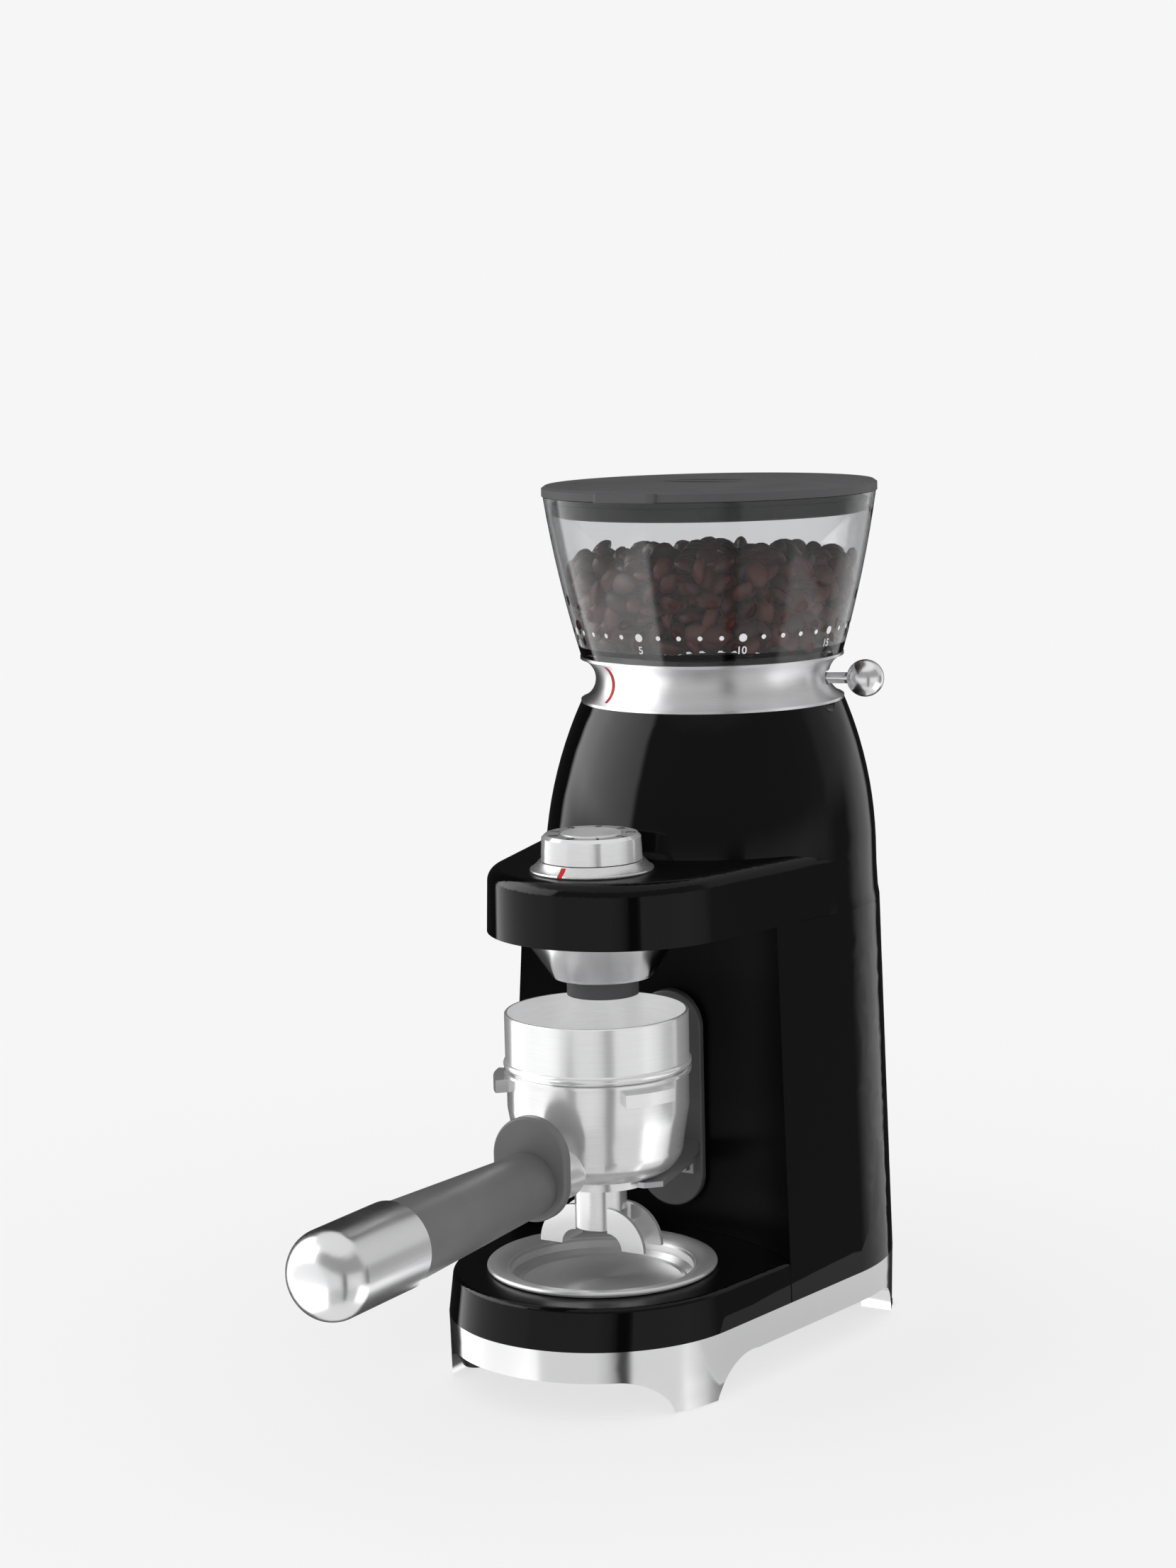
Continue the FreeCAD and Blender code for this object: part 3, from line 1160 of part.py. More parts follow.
def portafilter_fork():
    """Two prongs and a root plate that carry the cup's shoulder, with two posts below."""
    z0, z1 = FORK_Z - FORK_T, FORK_Z
    h, i = FORK_HALF, FORK_INNER
    back = PANEL_FACE_Y
    root = FORK_ROOT_HALF
    kx, ky = FORK_KNEE
    mid = (kx - 4.5, ky + 18)
    steps = [(-h + 6, FORK_TIP_Y), (-h, FORK_TIP_Y + 6), (-kx, ky), ((-mid[0], mid[1]), (-root, back)),
             (root, back), (mid, (kx, ky)), (h, FORK_TIP_Y + 6), (h - 6, FORK_TIP_Y),
             (i, FORK_TIP_Y), (i, PORTA_Y + 8), ((0, PORTA_Y + 8 + i), (-i, PORTA_Y + 8)), (-i, FORK_TIP_Y)]
    plate = extruded(steps, lambda p: V(p[0], p[1], z0), V(0, 0, z1 - z0))
    posts = [disc(3.5, z0 - 8.5, z0, side * 11, back - 9) for side in (-1, 1)]
    tongue = block(-13, 13, back - 2.4, back, z0 - 12, z0)
    return union([plate, tongue] + posts)


def drip_dish():
    """Loose steel dish in the foot, with a rolled rim."""
    t = DISH_WALL
    r, lip = DISH_R, DISH_LIP_R
    top = DISH_Z
    well = lip - 3.0
    steps = [(0, DISH_FLOOR_Z), (well, DISH_FLOOR_Z), (lip, DISH_FLOOR_Z + 3), (lip, FOOT_TOP_Z + SEAT_GAP),
             (r, FOOT_TOP_Z + SEAT_GAP), ((r + 0.4, top - 1.0), (r - 0.8, top)),
             ((r - 4.5, top - 0.2), (lip - t, top - 3.4)), (lip - t, DISH_FLOOR_Z + 3.4),
             (well - 0.6, DISH_FLOOR_Z + t), (well - 1.8, DISH_FLOOR_Z + t + 0.8),
             (well - 3.0, DISH_FLOOR_Z + t), (0, DISH_FLOOR_Z + t + 0.6)]
    return revolved(steps, DISH_Y)


NODES = [
    upper_shell, lower_shell, platform_floor, base_band, foot_pads, base_plate, base_screws,
    cord_inlet_bush, collar, lock_ring, lever_stem, lever_ball, hopper, hopper_shutter, lid, lid_seal,
    burr_carrier, ring_burr, cone_burr, sweeper, burr_nut, burr_shaft, grind_chamber, exit_chute,
    drive_gear, motor_pinion, gear_case, gear_cover, lower_bearing, upper_bearing, chassis,
    motor_mount, motor_dampers, motor_can, motor_magnets, motor_end_bell, motor_brushes,
    motor_shaft, motor_armature, cooling_fan, power_board, board_parts, knob_board, encoder,
    interlock_switch, knob_ring, dose_knob, start_button, funnel, outlet_sleeve,
    dosing_ring, portafilter_cup, filter_basket, spout, handle_flange, handle_grip, handle_cap,
    portafilter_fork, bracket_panel, drip_dish,
]


def solid_of(made):
    """One shape for a node, from a solid or from a group of separate solids."""
    if isinstance(made, list):
        return Part.makeCompound([piece.Solids[0] for piece in made])
    return made.Solids[0] if len(made.Solids) == 1 else Part.makeCompound(made.Solids)


def build():
    """Make every node in the finished frame."""
    shapes = {}
    for make in NODES:
        shape = solid_of(make())
        shape.translate(V(0, FRAME_Y, 0))
        shapes[make.__name__] = shape
    return shapes


if __name__ == "__main__":
    os.makedirs("parts", exist_ok=True)
    for name, shape in build().items():
        shape.exportStep("parts/" + name + ".step")
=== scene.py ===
"""Looks of a burr coffee grinder: finishes, beans, printed scales, studio and camera.

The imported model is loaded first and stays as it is. Every finish is a node material in
Object coordinates, and every added piece is a surface worked out with numpy and seated
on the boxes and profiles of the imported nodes. Lengths are metres, +Z is up and the
grinder's front looks towards -Y.
"""
import logging
import math
from dataclasses import dataclass
from enum import Enum
from functools import lru_cache

import bpy
import numpy as np
from mathutils import Matrix, Vector


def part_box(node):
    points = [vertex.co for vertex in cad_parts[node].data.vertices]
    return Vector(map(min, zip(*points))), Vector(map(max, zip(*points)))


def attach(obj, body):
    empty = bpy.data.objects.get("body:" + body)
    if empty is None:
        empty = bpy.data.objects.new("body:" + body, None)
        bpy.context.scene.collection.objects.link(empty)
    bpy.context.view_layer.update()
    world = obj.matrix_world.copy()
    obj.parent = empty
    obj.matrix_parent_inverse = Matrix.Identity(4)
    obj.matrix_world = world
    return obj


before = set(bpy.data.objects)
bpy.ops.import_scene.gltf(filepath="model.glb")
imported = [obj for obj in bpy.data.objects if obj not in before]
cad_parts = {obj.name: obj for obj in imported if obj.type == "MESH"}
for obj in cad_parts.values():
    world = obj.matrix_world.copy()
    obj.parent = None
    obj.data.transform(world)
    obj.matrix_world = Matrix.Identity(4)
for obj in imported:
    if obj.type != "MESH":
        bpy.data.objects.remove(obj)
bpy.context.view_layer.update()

log = logging.getLogger("grinder")

MM = 0.001
BAY_RADIUS = 110.0 * MM
DIGIT_HEIGHT = 0.70  # of a digit set at size 1
CRISP_EDGE = 30.0  # degrees between faces, above which an edge stays sharp
WELD_GAP = 0.001 * MM
Pair = tuple[float, float]
Triple = tuple[float, float, float]
Flat = tuple[np.ndarray, list[list[int]]]
Piece = bpy.types.Object
Socket = bpy.types.NodeSocket


# -------- measures of the frame
def axis_y() -> float:
    """Return the y of the upright axis that the hopper, the collar and the burrs share."""
    low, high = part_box("collar")
    return (low.y + high.y) / 2


def centre_of(node: str) -> Vector:
    """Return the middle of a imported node's box."""
    low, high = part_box(node)
    return (low + high) / 2


@lru_cache(maxsize=None)
def outer_profile(node: str, centre: Pair) -> tuple[np.ndarray, np.ndarray]:
    """Return a turned node's outer radius against height.

    The radius at a height is the largest distance from the upright axis through the
    centre, among the vertices there of faces that look away from that axis.

    Args:
        node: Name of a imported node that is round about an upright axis.
        centre: x and y of that axis.

    Returns:
        Heights in rising order and the outer radius at each.
    """
    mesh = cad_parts[node].data
    co = np.empty(len(mesh.vertices) * 3, np.float32)
    mesh.vertices.foreach_get("co", co)
    co = co.reshape(-1, 3).astype(float)
    corners = np.empty(len(mesh.polygons) * 3, np.int32)
    mesh.polygons.foreach_get("vertices", corners)
    triangles = co[corners.reshape(-1, 3)] - np.array([*centre, 0.0])
    normals = np.cross(triangles[:, 1] - triangles[:, 0], triangles[:, 2] - triangles[:, 0])
    outward = (normals[:, :2] * triangles[:, :, :2].mean(axis=1)).sum(axis=1)
    walls = triangles[outward > 0.0].reshape(-1, 3)
    radius = np.hypot(walls[:, 0], walls[:, 1])
    levels, place = np.unique(np.round(walls[:, 2], 5), return_inverse=True)
    widest = np.zeros(len(levels))
    np.maximum.at(widest, place.reshape(-1), radius)
    return levels, widest


# -------- mesh helpers
def add_mesh(name: str, points: np.ndarray, faces: list | np.ndarray, smooth: bool = True) -> Piece:
    """Make an object at the origin from points and faces.

    Args:
        name: Name of the new piece.
        points: Points in rows of three.
        faces: Faces as rows of point numbers.
        smooth: Whether the faces are shaded smooth.

    Returns:
        The new object, linked to the scene.
    """
    mesh = bpy.data.meshes.new(name)
    rows = faces.tolist() if isinstance(faces, np.ndarray) else faces
    mesh.from_pydata(np.asarray(points, float).reshape(-1, 3).tolist(), [], rows)
    mesh.polygons.foreach_set("use_smooth", np.full(len(mesh.polygons), smooth))
    mesh.update()
    piece = bpy.data.objects.new(name, mesh)
    bpy.context.scene.collection.objects.link(piece)
    return piece


def grid_faces(rows: int, cols: int, close_cols: bool = False) -> np.ndarray:
    """Return the four-sided faces of a grid of points.

    Args:
        rows: Number of rows of points.
        cols: Number of points in each row.
        close_cols: Whether the last column joins the first.

    Returns:
        One row of four point numbers for each face.
    """
    here = np.arange(rows - 1)[:, None] * cols
    there = here + cols
    col = np.arange(cols if close_cols else cols - 1)[None, :]
    next_col = (col + 1) % cols
    corners = [here + col, here + next_col, there + next_col, there + col]
    return np.stack(corners, axis=-1).reshape(-1, 4)


def circle(sides: int) -> np.ndarray:
    """Return the points of a circle of radius one, as rows of cosine and sine."""
    angle = np.linspace(0, 2 * np.pi, sides, endpoint=False)
    return np.stack([np.cos(angle), np.sin(angle)], axis=1)


def closed_loft(name: str, grid: np.ndarray) -> Piece:
    """Make a closed skin from rings of points, with a fan of faces over each end ring.

    Args:
        name: Name of the new piece.
        grid: Rings of points, of shape rings by points by three.

    Returns:
        The new object.
    """
    rings, count = grid.shape[:2]
    ends = np.stack([grid[0].mean(axis=0), grid[-1].mean(axis=0)])
    points = np.vstack([grid.reshape(-1, 3), ends])
    faces = grid_faces(rings, count, close_cols=True).tolist()
    around = range(count)
    first, last = rings * count, rings * count + 1
    faces += [[first, (i + 1) % count, i] for i in around]
    base = (rings - 1) * count
    faces += [[last, base + i, base + (i + 1) % count] for i in around]
    return add_mesh(name, points, faces)


def weld_smooth(node: str) -> None:
    """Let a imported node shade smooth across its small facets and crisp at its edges."""
    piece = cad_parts[node]
    piece.data.polygons.foreach_set("use_smooth", np.full(len(piece.data.polygons), True))
    weld = piece.modifiers.new("weld", "WELD")
    weld.merge_threshold = WELD_GAP
    split = piece.modifiers.new("edges", "EDGE_SPLIT")
    split.split_angle = math.radians(CRISP_EDGE)
    even = piece.modifiers.new("even", "WEIGHTED_NORMAL")
    even.mode = "FACE_AREA"
    even.weight = 100


# -------- node trees
class Tree:
    """Small helper that adds and joins shader nodes."""

    def __init__(self, tree: bpy.types.NodeTree) -> None:
        """Empty the tree and keep it."""
        tree.nodes.clear()
        self.tree = tree

    def add(self, kind: str, inputs: dict | None = None, **settings) -> bpy.types.Node:
        """Add a node, set it up and join or fill its inputs.

        Args:
            kind: The node's type name.
            inputs: Input name or number against a value or an output socket.
            settings: Attributes of the node itself.

        Returns:
            The new node.
        """
        node = self.tree.nodes.new(kind)
        for key, value in settings.items():
            setattr(node, key, value)
        for key, value in (inputs or {}).items():
            if isinstance(value, Socket):
                self.tree.links.new(value, node.inputs[key])
            else:
                node.inputs[key].default_value = value
        return node

    def math(self, operation: str, *values: float | Socket) -> Socket:
        """Add a Math node and return its output."""
        return self.add("ShaderNodeMath", dict(enumerate(values)), operation=operation).outputs[0]

    def ramp(self, factor: Socket, stops: list[tuple[float, tuple]]) -> Socket:
        """Add a colour ramp with the given stops and return its colour.

        Args:
            factor: Socket that drives the ramp.
            stops: Positions with their colours, three numbers or one grey level.

        Returns:
            The ramp's colour output.
        """
        node = self.add("ShaderNodeValToRGB", {"Fac": factor})
        elements = node.color_ramp.elements
        elements[0].position, elements[1].position = stops[0][0], stops[-1][0]
        middle = [elements.new(place) for place, _ in stops[1:-1]]
        for element, (_, colour) in zip([elements[0], *middle, elements[-1]], stops):
            rgb = colour if isinstance(colour, tuple) else (colour,) * 3
            element.color = (*rgb, 1.0)
        return node.outputs["Color"]

    def noise(self, place: Socket, scale: float, detail: float = 2.0,
              roughness: float = 0.5) -> Socket:
        """Add a noise texture and return its factor."""
        inputs = {"Vector": place, "Scale": scale, "Detail": detail, "Roughness": roughness}
        return self.add("ShaderNodeTexNoise", inputs).outputs["Fac"]

    def bump(self, height: Socket, strength: float, distance: float) -> Socket:
        """Add a bump node and return its normal."""
        inputs = {"Height": height, "Strength": strength, "Distance": distance}
        return self.add("ShaderNodeBump", inputs).outputs["Normal"]

    def span(self, value: Socket, low: float, high: float, start: float = 0.0, end: float = 1.0,
             **settings) -> Socket:
        """Map a value from start and end to low and high.

        Args:
            value: Socket that gives the value.
            low: Result where the value is at start.
            high: Result where the value is at end.
            start: First end of the value's range.
            end: Other end of that range.
            settings: Attributes of the Map Range node.

        Returns:
            The mapped value's output.
        """
        inputs = {"Value": value, "From Min": start, "From Max": end, "To Min": low, "To Max": high}
        return self.add("ShaderNodeMapRange", inputs, **settings).outputs[0]

    def radius(self, parts: bpy.types.Node) -> Socket:
        """Return how far a point with these separate coordinates lies from the upright axis."""
        flat = self.add("ShaderNodeCombineXYZ", {"X": parts.outputs["X"], "Y": parts.outputs["Y"]})
        return self.add("ShaderNodeVectorMath", {0: flat.outputs[0]}, operation="LENGTH").outputs["Value"]

    def surface(self, inputs: dict) -> Socket:
        """Add a Principled shader with these inputs and return it."""
        return self.add("ShaderNodeBsdfPrincipled", inputs).outputs[0]

    def object_place(self, origin: Triple = (0.0, 0.0, 0.0)) -> Socket:
        """Return Object coordinates measured from an origin."""
        place = self.add("ShaderNodeTexCoord").outputs["Object"]
        if origin == (0.0, 0.0, 0.0):
            return place
        shift = tuple(-value for value in origin)
        return self.add("ShaderNodeMapping", {"Vector": place, "Location": shift}).outputs["Vector"]


def shade(colour: Triple, factor: float) -> Triple:
    """Return a colour made darker or lighter by a factor, at most white."""
    return tuple(min(1.0, part * factor) for part in colour)


@dataclass(frozen=True)
class Finish:
    """A material that is made once and handed to every piece that shares it."""

    name: str

    def material(self) -> bpy.types.Material:
        """Return the finish's material, made at the first call."""
        found = bpy.data.materials.get(self.name)
        if found:
            return found
        made = bpy.data.materials.new(self.name)
        made.use_nodes = True
        tree = Tree(made.node_tree)
        shader = self.build(tree)
        tree.add("ShaderNodeOutputMaterial", {"Surface": shader})
        return made

    def build(self, tree: Tree) -> Socket:
        """Build the nodes and return the closing shader."""
        raise NotImplementedError

    def dress(self, piece: Piece) -> None:
        """Give a piece this finish alone."""
        piece.data.materials.clear()
        piece.data.materials.append(self.material())


@dataclass(frozen=True)
class GlossShell(Finish):
    """Black moulded plastic with a deep gloss, left satin on level tops and the bay's hollow wall."""

    base: Triple = (0.0020, 0.0020, 0.0022)
    shine: float = 0.19
    roughness: float = 0.012
    haze: float = 0.02
    haze_scale: float = 9.0
    ripple: float = 0.04
    ripple_scale: float = 60.0
    ripple_depth: float = 0.4 * MM
    level_from: Pair = (0.86, 0.98)
    top_roughness: float = 0.26
    bay_axis: Triple = (0.0, 0.0, 0.0)
    bay_radius: float = 0.0
    bay_reach: float = 0.4 * MM
    bay_roughness: float = 0.34
    bay_matt: float = 0.72

    def build(self, tree: Tree) -> Socket:
        """Gloss with slow roughness changes; a set distance from the bay's axis is satin."""
        place = tree.object_place()
        haze = tree.noise(place, self.haze_scale, 3.0)
        rough = tree.span(haze, self.roughness, self.roughness + self.haze)
        ripple = tree.bump(tree.noise(place, self.ripple_scale, 1.0), self.ripple, self.ripple_depth)
        normal = tree.add("ShaderNodeNewGeometry").outputs["Normal"]
        upward = tree.add("ShaderNodeSeparateXYZ", {"Vector": normal}).outputs["Z"]
        rough = tree.math("ADD", rough, tree.span(upward, 0.0, self.top_roughness, *self.level_from))
        gloss = tree.surface({"Base Color": (*self.base, 1.0), "Roughness": rough, "Normal": ripple,
                              "Specular IOR Level": self.shine})
        if self.bay_radius == 0.0:
            return gloss
        parts = tree.add("ShaderNodeSeparateXYZ", {"Vector": tree.object_place(self.bay_axis)})
        off = tree.math("ABSOLUTE", tree.math("SUBTRACT", tree.radius(parts), self.bay_radius))
        on_wall = tree.math("LESS_THAN", off, self.bay_reach)
        satin = tree.surface({"Base Color": (*self.base, 1.0), "Roughness": self.bay_roughness,
                              "Specular IOR Level": self.shine})
        matt = tree.add("ShaderNodeBsdfDiffuse", {"Color": (*self.base, 1.0)}).outputs[0]
        hollow = tree.add("ShaderNodeMixShader", {0: self.bay_matt, 1: satin, 2: matt}).outputs[0]
        return tree.add("ShaderNodeMixShader", {0: on_wall, 1: gloss, 2: hollow}).outputs[0]


@dataclass(frozen=True)
class MattPlastic(Finish):
    """Grey moulded plastic with a fine spark-eroded grain."""

    base: Triple = (0.095, 0.095, 0.098)
    roughness: float = 0.42
    shine: float = 0.40
    grain: float = 1800.0
    depth: float = 0.10
    tone_scale: float = 25.0
    tones: Pair = (0.90, 1.12)
    uneven: Pair = (-0.05, 0.06)

    def build(self, tree: Tree) -> Socket:
        """Grain from fine noise, with a soft change of tone over the piece."""
        place = tree.object_place()
        tone = tree.noise(place, self.tone_scale, 3.0)
        darker, lighter = (shade(self.base, factor) for factor in self.tones)
        colour = tree.ramp(tone, [(0.3, darker), (0.7, lighter)])
        grain = tree.noise(place, self.grain, 2.0)
        rough = tree.span(grain, self.roughness + self.uneven[0], self.roughness + self.uneven[1])
        return tree.surface({"Base Color": colour, "Roughness": rough, "Specular IOR Level": self.shine,
                             "Normal": tree.bump(grain, self.depth, 0.2 * MM)})


@dataclass(frozen=True)
class PolishedSteel(Finish):
    """Mirror-polished steel with hairline wiping marks."""

    base: Triple = (0.80, 0.80, 0.81)
    roughness: float = 0.06
    wiped: float = 0.09
    marks: Triple = (40.0, 40.0, 900.0)
    mark_bump: float = 0.007

    def build(self, tree: Tree) -> Socket:
        """Metal whose roughness rises a little along faint wiping marks."""
        place = tree.object_place()
        stretched = tree.add("ShaderNodeMapping", {"Vector": place, "Scale": self.marks})
        marks = tree.noise(stretched.outputs["Vector"], 1.0, 2.0)
        cloud = tree.noise(place, 40.0, 3.0)
        rough = tree.span(tree.math("MULTIPLY", marks, cloud), self.roughness, self.roughness + self.wiped)
        return tree.surface({"Base Color": (*self.base, 1.0), "Metallic": 1.0, "Roughness": rough,
                             "Normal": tree.bump(marks, self.mark_bump, 0.05 * MM)})


@dataclass(frozen=True)
class TurnedSteel(Finish):
    """Satin steel with the fine rings that turning and brushing leave.

    The rings run round the centre, so reflections are drawn out across them.
    """

    centre: Triple = (0.0, 0.0, 0.0)
    base: Triple = (0.72, 0.72, 0.73)
    roughness: float = 0.24
    rings: float = 2600.0
    stretch: float = 0.75
    metal: float = 1.0
    uneven: float = 0.05
    dark_lines: float = 0.94
    line_bump: float = 0.03
    drift: float = 0.0012

    def build(self, tree: Tree) -> Socket:
        """Rings about the centre: a fine noise of the radius and the height alone."""
        place = tree.object_place(self.centre)
        parts = tree.add("ShaderNodeSeparateXYZ", {"Vector": place})
        angle = tree.math("ARCTAN2", parts.outputs["Y"], parts.outputs["X"])
        slow = tree.math("MULTIPLY", angle, self.drift)
        ring = tree.add("ShaderNodeCombineXYZ", {"X": tree.radius(parts), "Y": slow, "Z": parts.outputs["Z"]})
        lines = tree.noise(ring.outputs[0], self.rings, 2.0, 0.6)
        both = tree.math("MULTIPLY", lines, tree.noise(place, 30.0, 2.0))
        rough = tree.span(both, self.roughness, self.roughness + self.uneven)
        colour = tree.ramp(lines, [(0.3, shade(self.base, self.dark_lines)), (0.7, self.base)])
        backwards = tree.math("MULTIPLY", parts.outputs["Y"], -1.0)
        around = tree.add("ShaderNodeCombineXYZ", {"X": backwards, "Y": parts.outputs["X"]}).outputs[0]
        tangent = tree.add("ShaderNodeVectorTransform", {0: around}, vector_type="VECTOR",
                           convert_from="OBJECT", convert_to="WORLD").outputs[0]
        return tree.surface({
            "Base Color": colour, "Metallic": self.metal, "Roughness": rough, "Anisotropic": self.stretch,
            "Anisotropic Rotation": 0.25, "Tangent": tangent,
            "Normal": tree.bump(lines, self.line_bump, 0.02 * MM)})


@dataclass(frozen=True)
class ClearBowl(Finish):
    """Clear, slightly smoky polycarbonate, darker where the wall is seen edge on."""

    face_on: Triple = (0.80, 0.805, 0.81)
    edge_on: Triple = (0.15, 0.154, 0.158)
    slants: Pair = (0.40, 0.82)
    haze: float = 0.01
    bending: float = 1.38

    def build(self, tree: Tree) -> Socket:
        """Glass-like plastic tinted by the slant; shadow rays pass through with the tint alone."""
        haze = tree.noise(tree.object_place(), 35.0, 3.0)
        rough = tree.span(haze, 0.0, self.haze)
        slant = tree.add("ShaderNodeLayerWeight", {"Blend": 0.5}).outputs["Facing"]
        tint = tree.ramp(slant, [(self.slants[0], self.face_on), (self.slants[1], self.edge_on)])
        clear = tree.surface({"Base Color": tint, "Roughness": rough, "IOR": self.bending,
                              "Transmission Weight": 1.0})
        passing = tree.add("ShaderNodeBsdfTransparent", {"Color": (*self.face_on, 1.0)}).outputs[0]
        shadow = tree.add("ShaderNodeLightPath").outputs["Is Shadow Ray"]
        return tree.add("ShaderNodeMixShader", {0: shadow, 1: clear, 2: passing}).outputs[0]


@dataclass(frozen=True)
class RoastedBean(Finish):
    """Roasted coffee: brown that differs from bean to bean, an oily sheen and a pale crease."""

    dark: Triple = (0.030, 0.0075, 0.0056)
    light: Triple = (0.155, 0.038, 0.027)
    crease: Triple = (0.17, 0.085, 0.06)
    shares: Pair = (0.7, 0.35)
    mottle: float = 420.0
    wrinkles: float = 500.0
    oiliness: Pair = (0.30, 0.42)
    shine: float = 0.40

    def build(self, tree: Tree) -> Socket:
        """Mix two browns by the bean's own tone, then add the crease's colour and wrinkles."""
        place = tree.object_place()
        tone = tree.add("ShaderNodeAttribute", attribute_name="tone").outputs["Fac"]
        groove = tree.add("ShaderNodeAttribute", attribute_name="crease").outputs["Fac"]
        mottle = tree.noise(place, self.mottle, 4.0)
        own, fine = (tree.math("MULTIPLY", part, share) for part, share in zip((tone, mottle), self.shares))
        brown = tree.ramp(tree.math("ADD", own, fine), [(0.05, self.dark), (0.95, self.light)])
        colour = tree.add("ShaderNodeMix", {0: groove, 6: brown, 7: (*self.crease, 1.0)}, data_type="RGBA")
        wrinkles = tree.bump(tree.noise(place, self.wrinkles, 2.0), 0.10, 0.3 * MM)
        return tree.surface({"Base Color": colour.outputs[2], "Roughness": tree.span(mottle, *self.oiliness),
                             "Specular IOR Level": self.shine, "Normal": wrinkles})


@dataclass(frozen=True)
class Ink(Finish):
    """Printed ink, flat and slightly uneven."""

    base: Triple = (0.85, 0.85, 0.85)
    roughness: float = 0.5
    shine: float = 0.3
    thin: float = 0.93
    mottle: float = 3000.0

    def build(self, tree: Tree) -> Socket:
        """Even colour with a little mottling at the scale of the print."""
        mottle = tree.noise(tree.object_place(), self.mottle, 2.0)
        colour = tree.ramp(mottle, [(0.3, shade(self.base, self.thin)), (0.7, self.base)])
        return tree.surface({"Base Color": colour, "Roughness": self.roughness,
                             "Specular IOR Level": self.shine})


@dataclass(frozen=True)
class Sweep(Finish):
    """Seamless white paper: a matt face that takes only a soft shadow."""

    base: float = 0.97
    white: float = 0.922
    own_light: float = 0.64

    def build(self, tree: Tree) -> Socket:
        """Matt white; the camera sees part of it at the backdrop's own white."""
        matt = tree.add("ShaderNodeBsdfDiffuse", {"Color": (self.base, self.base, self.base, 1.0)}).outputs[0]
        lit = tree.add("ShaderNodeEmission", {"Color": (1, 1, 1, 1), "Strength": self.white}).outputs[0]
        camera = tree.add("ShaderNodeLightPath").outputs["Is Camera Ray"]
        share = tree.math("MULTIPLY", camera, self.own_light)
        return tree.add("ShaderNodeMixShader", {0: share, 1: matt, 2: lit}).outputs[0]


@dataclass(frozen=True)
class Rubber(Finish):
    """Dark rubber with a dusty, matt face."""

    base: Triple = (0.03, 0.03, 0.031)
    roughness: float = 0.72
    shine: float = 0.35
    grain: float = 300.0
    dust: float = 1.7

    def build(self, tree: Tree) -> Socket:
        """Matt rubber with a pale bloom in the hollows of its grain."""
        place = tree.object_place()
        bloom = tree.noise(place, self.grain, 4.0)
        colour = tree.ramp(bloom, [(0.35, self.base), (0.8, shade(self.base, self.dust))])
        return tree.surface({"Base Color": colour, "Roughness": self.roughness,
                             "Specular IOR Level": self.shine, "Normal": tree.bump(bloom, 0.2, 0.2 * MM)})


@dataclass(frozen=True)
class PaintedMetal(Finish):
    """Silver powder coat on pressed sheet, with an orange-peel ripple."""

    base: Triple = (0.46, 0.46, 0.47)
    metal: float = 0.7
    roughness: float = 0.33
    sparkle: float = 5000.0
    peel: float = 700.0

    def build(self, tree: Tree) -> Socket:
        """Half-metallic paint with a fine sparkle and a low ripple."""
        place = tree.object_place()
        sparkle = tree.noise(place, self.sparkle, 1.0)
        colour = tree.ramp(sparkle, [(0.35, shade(self.base, 0.85)), (0.65, self.base)])
        return tree.surface({"Base Color": colour, "Metallic": self.metal, "Roughness": self.roughness,
                             "Normal": tree.bump(tree.noise(place, self.peel, 2.0), 0.15, 0.2 * MM)})


@dataclass(frozen=True)
class Laminate(Finish):
    """Green circuit laminate with copper tracks below its mask."""

    base: Triple = (0.02, 0.16, 0.07)
    track: Triple = (0.05, 0.26, 0.12)
    rows: float = 160.0
    joint: float = 0.03
    roughness: float = 0.35

    def build(self, tree: Tree) -> Socket:
        """A brick pattern's joints draw the tracks in a slightly paler green."""
        place = tree.object_place()
        tracks = tree.add("ShaderNodeTexBrick", {"Vector": place, "Scale": self.rows,
                                                 "Mortar Size": self.joint})
        colour = tree.add("ShaderNodeMix", {0: tracks.outputs["Fac"], 6: (*self.base, 1.0),
                                            7: (*self.track, 1.0)}, data_type="RGBA")
        return tree.surface({"Base Color": colour.outputs[2], "Roughness": self.roughness})


# -------- finishes of the nodes
def bay_axis() -> Triple:
    """Return the upright axis of the bay's hollow wall, which is deepest at the bracket's plate."""
    return (0.0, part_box("bracket_panel")[1].y - BAY_RADIUS, 0.0)


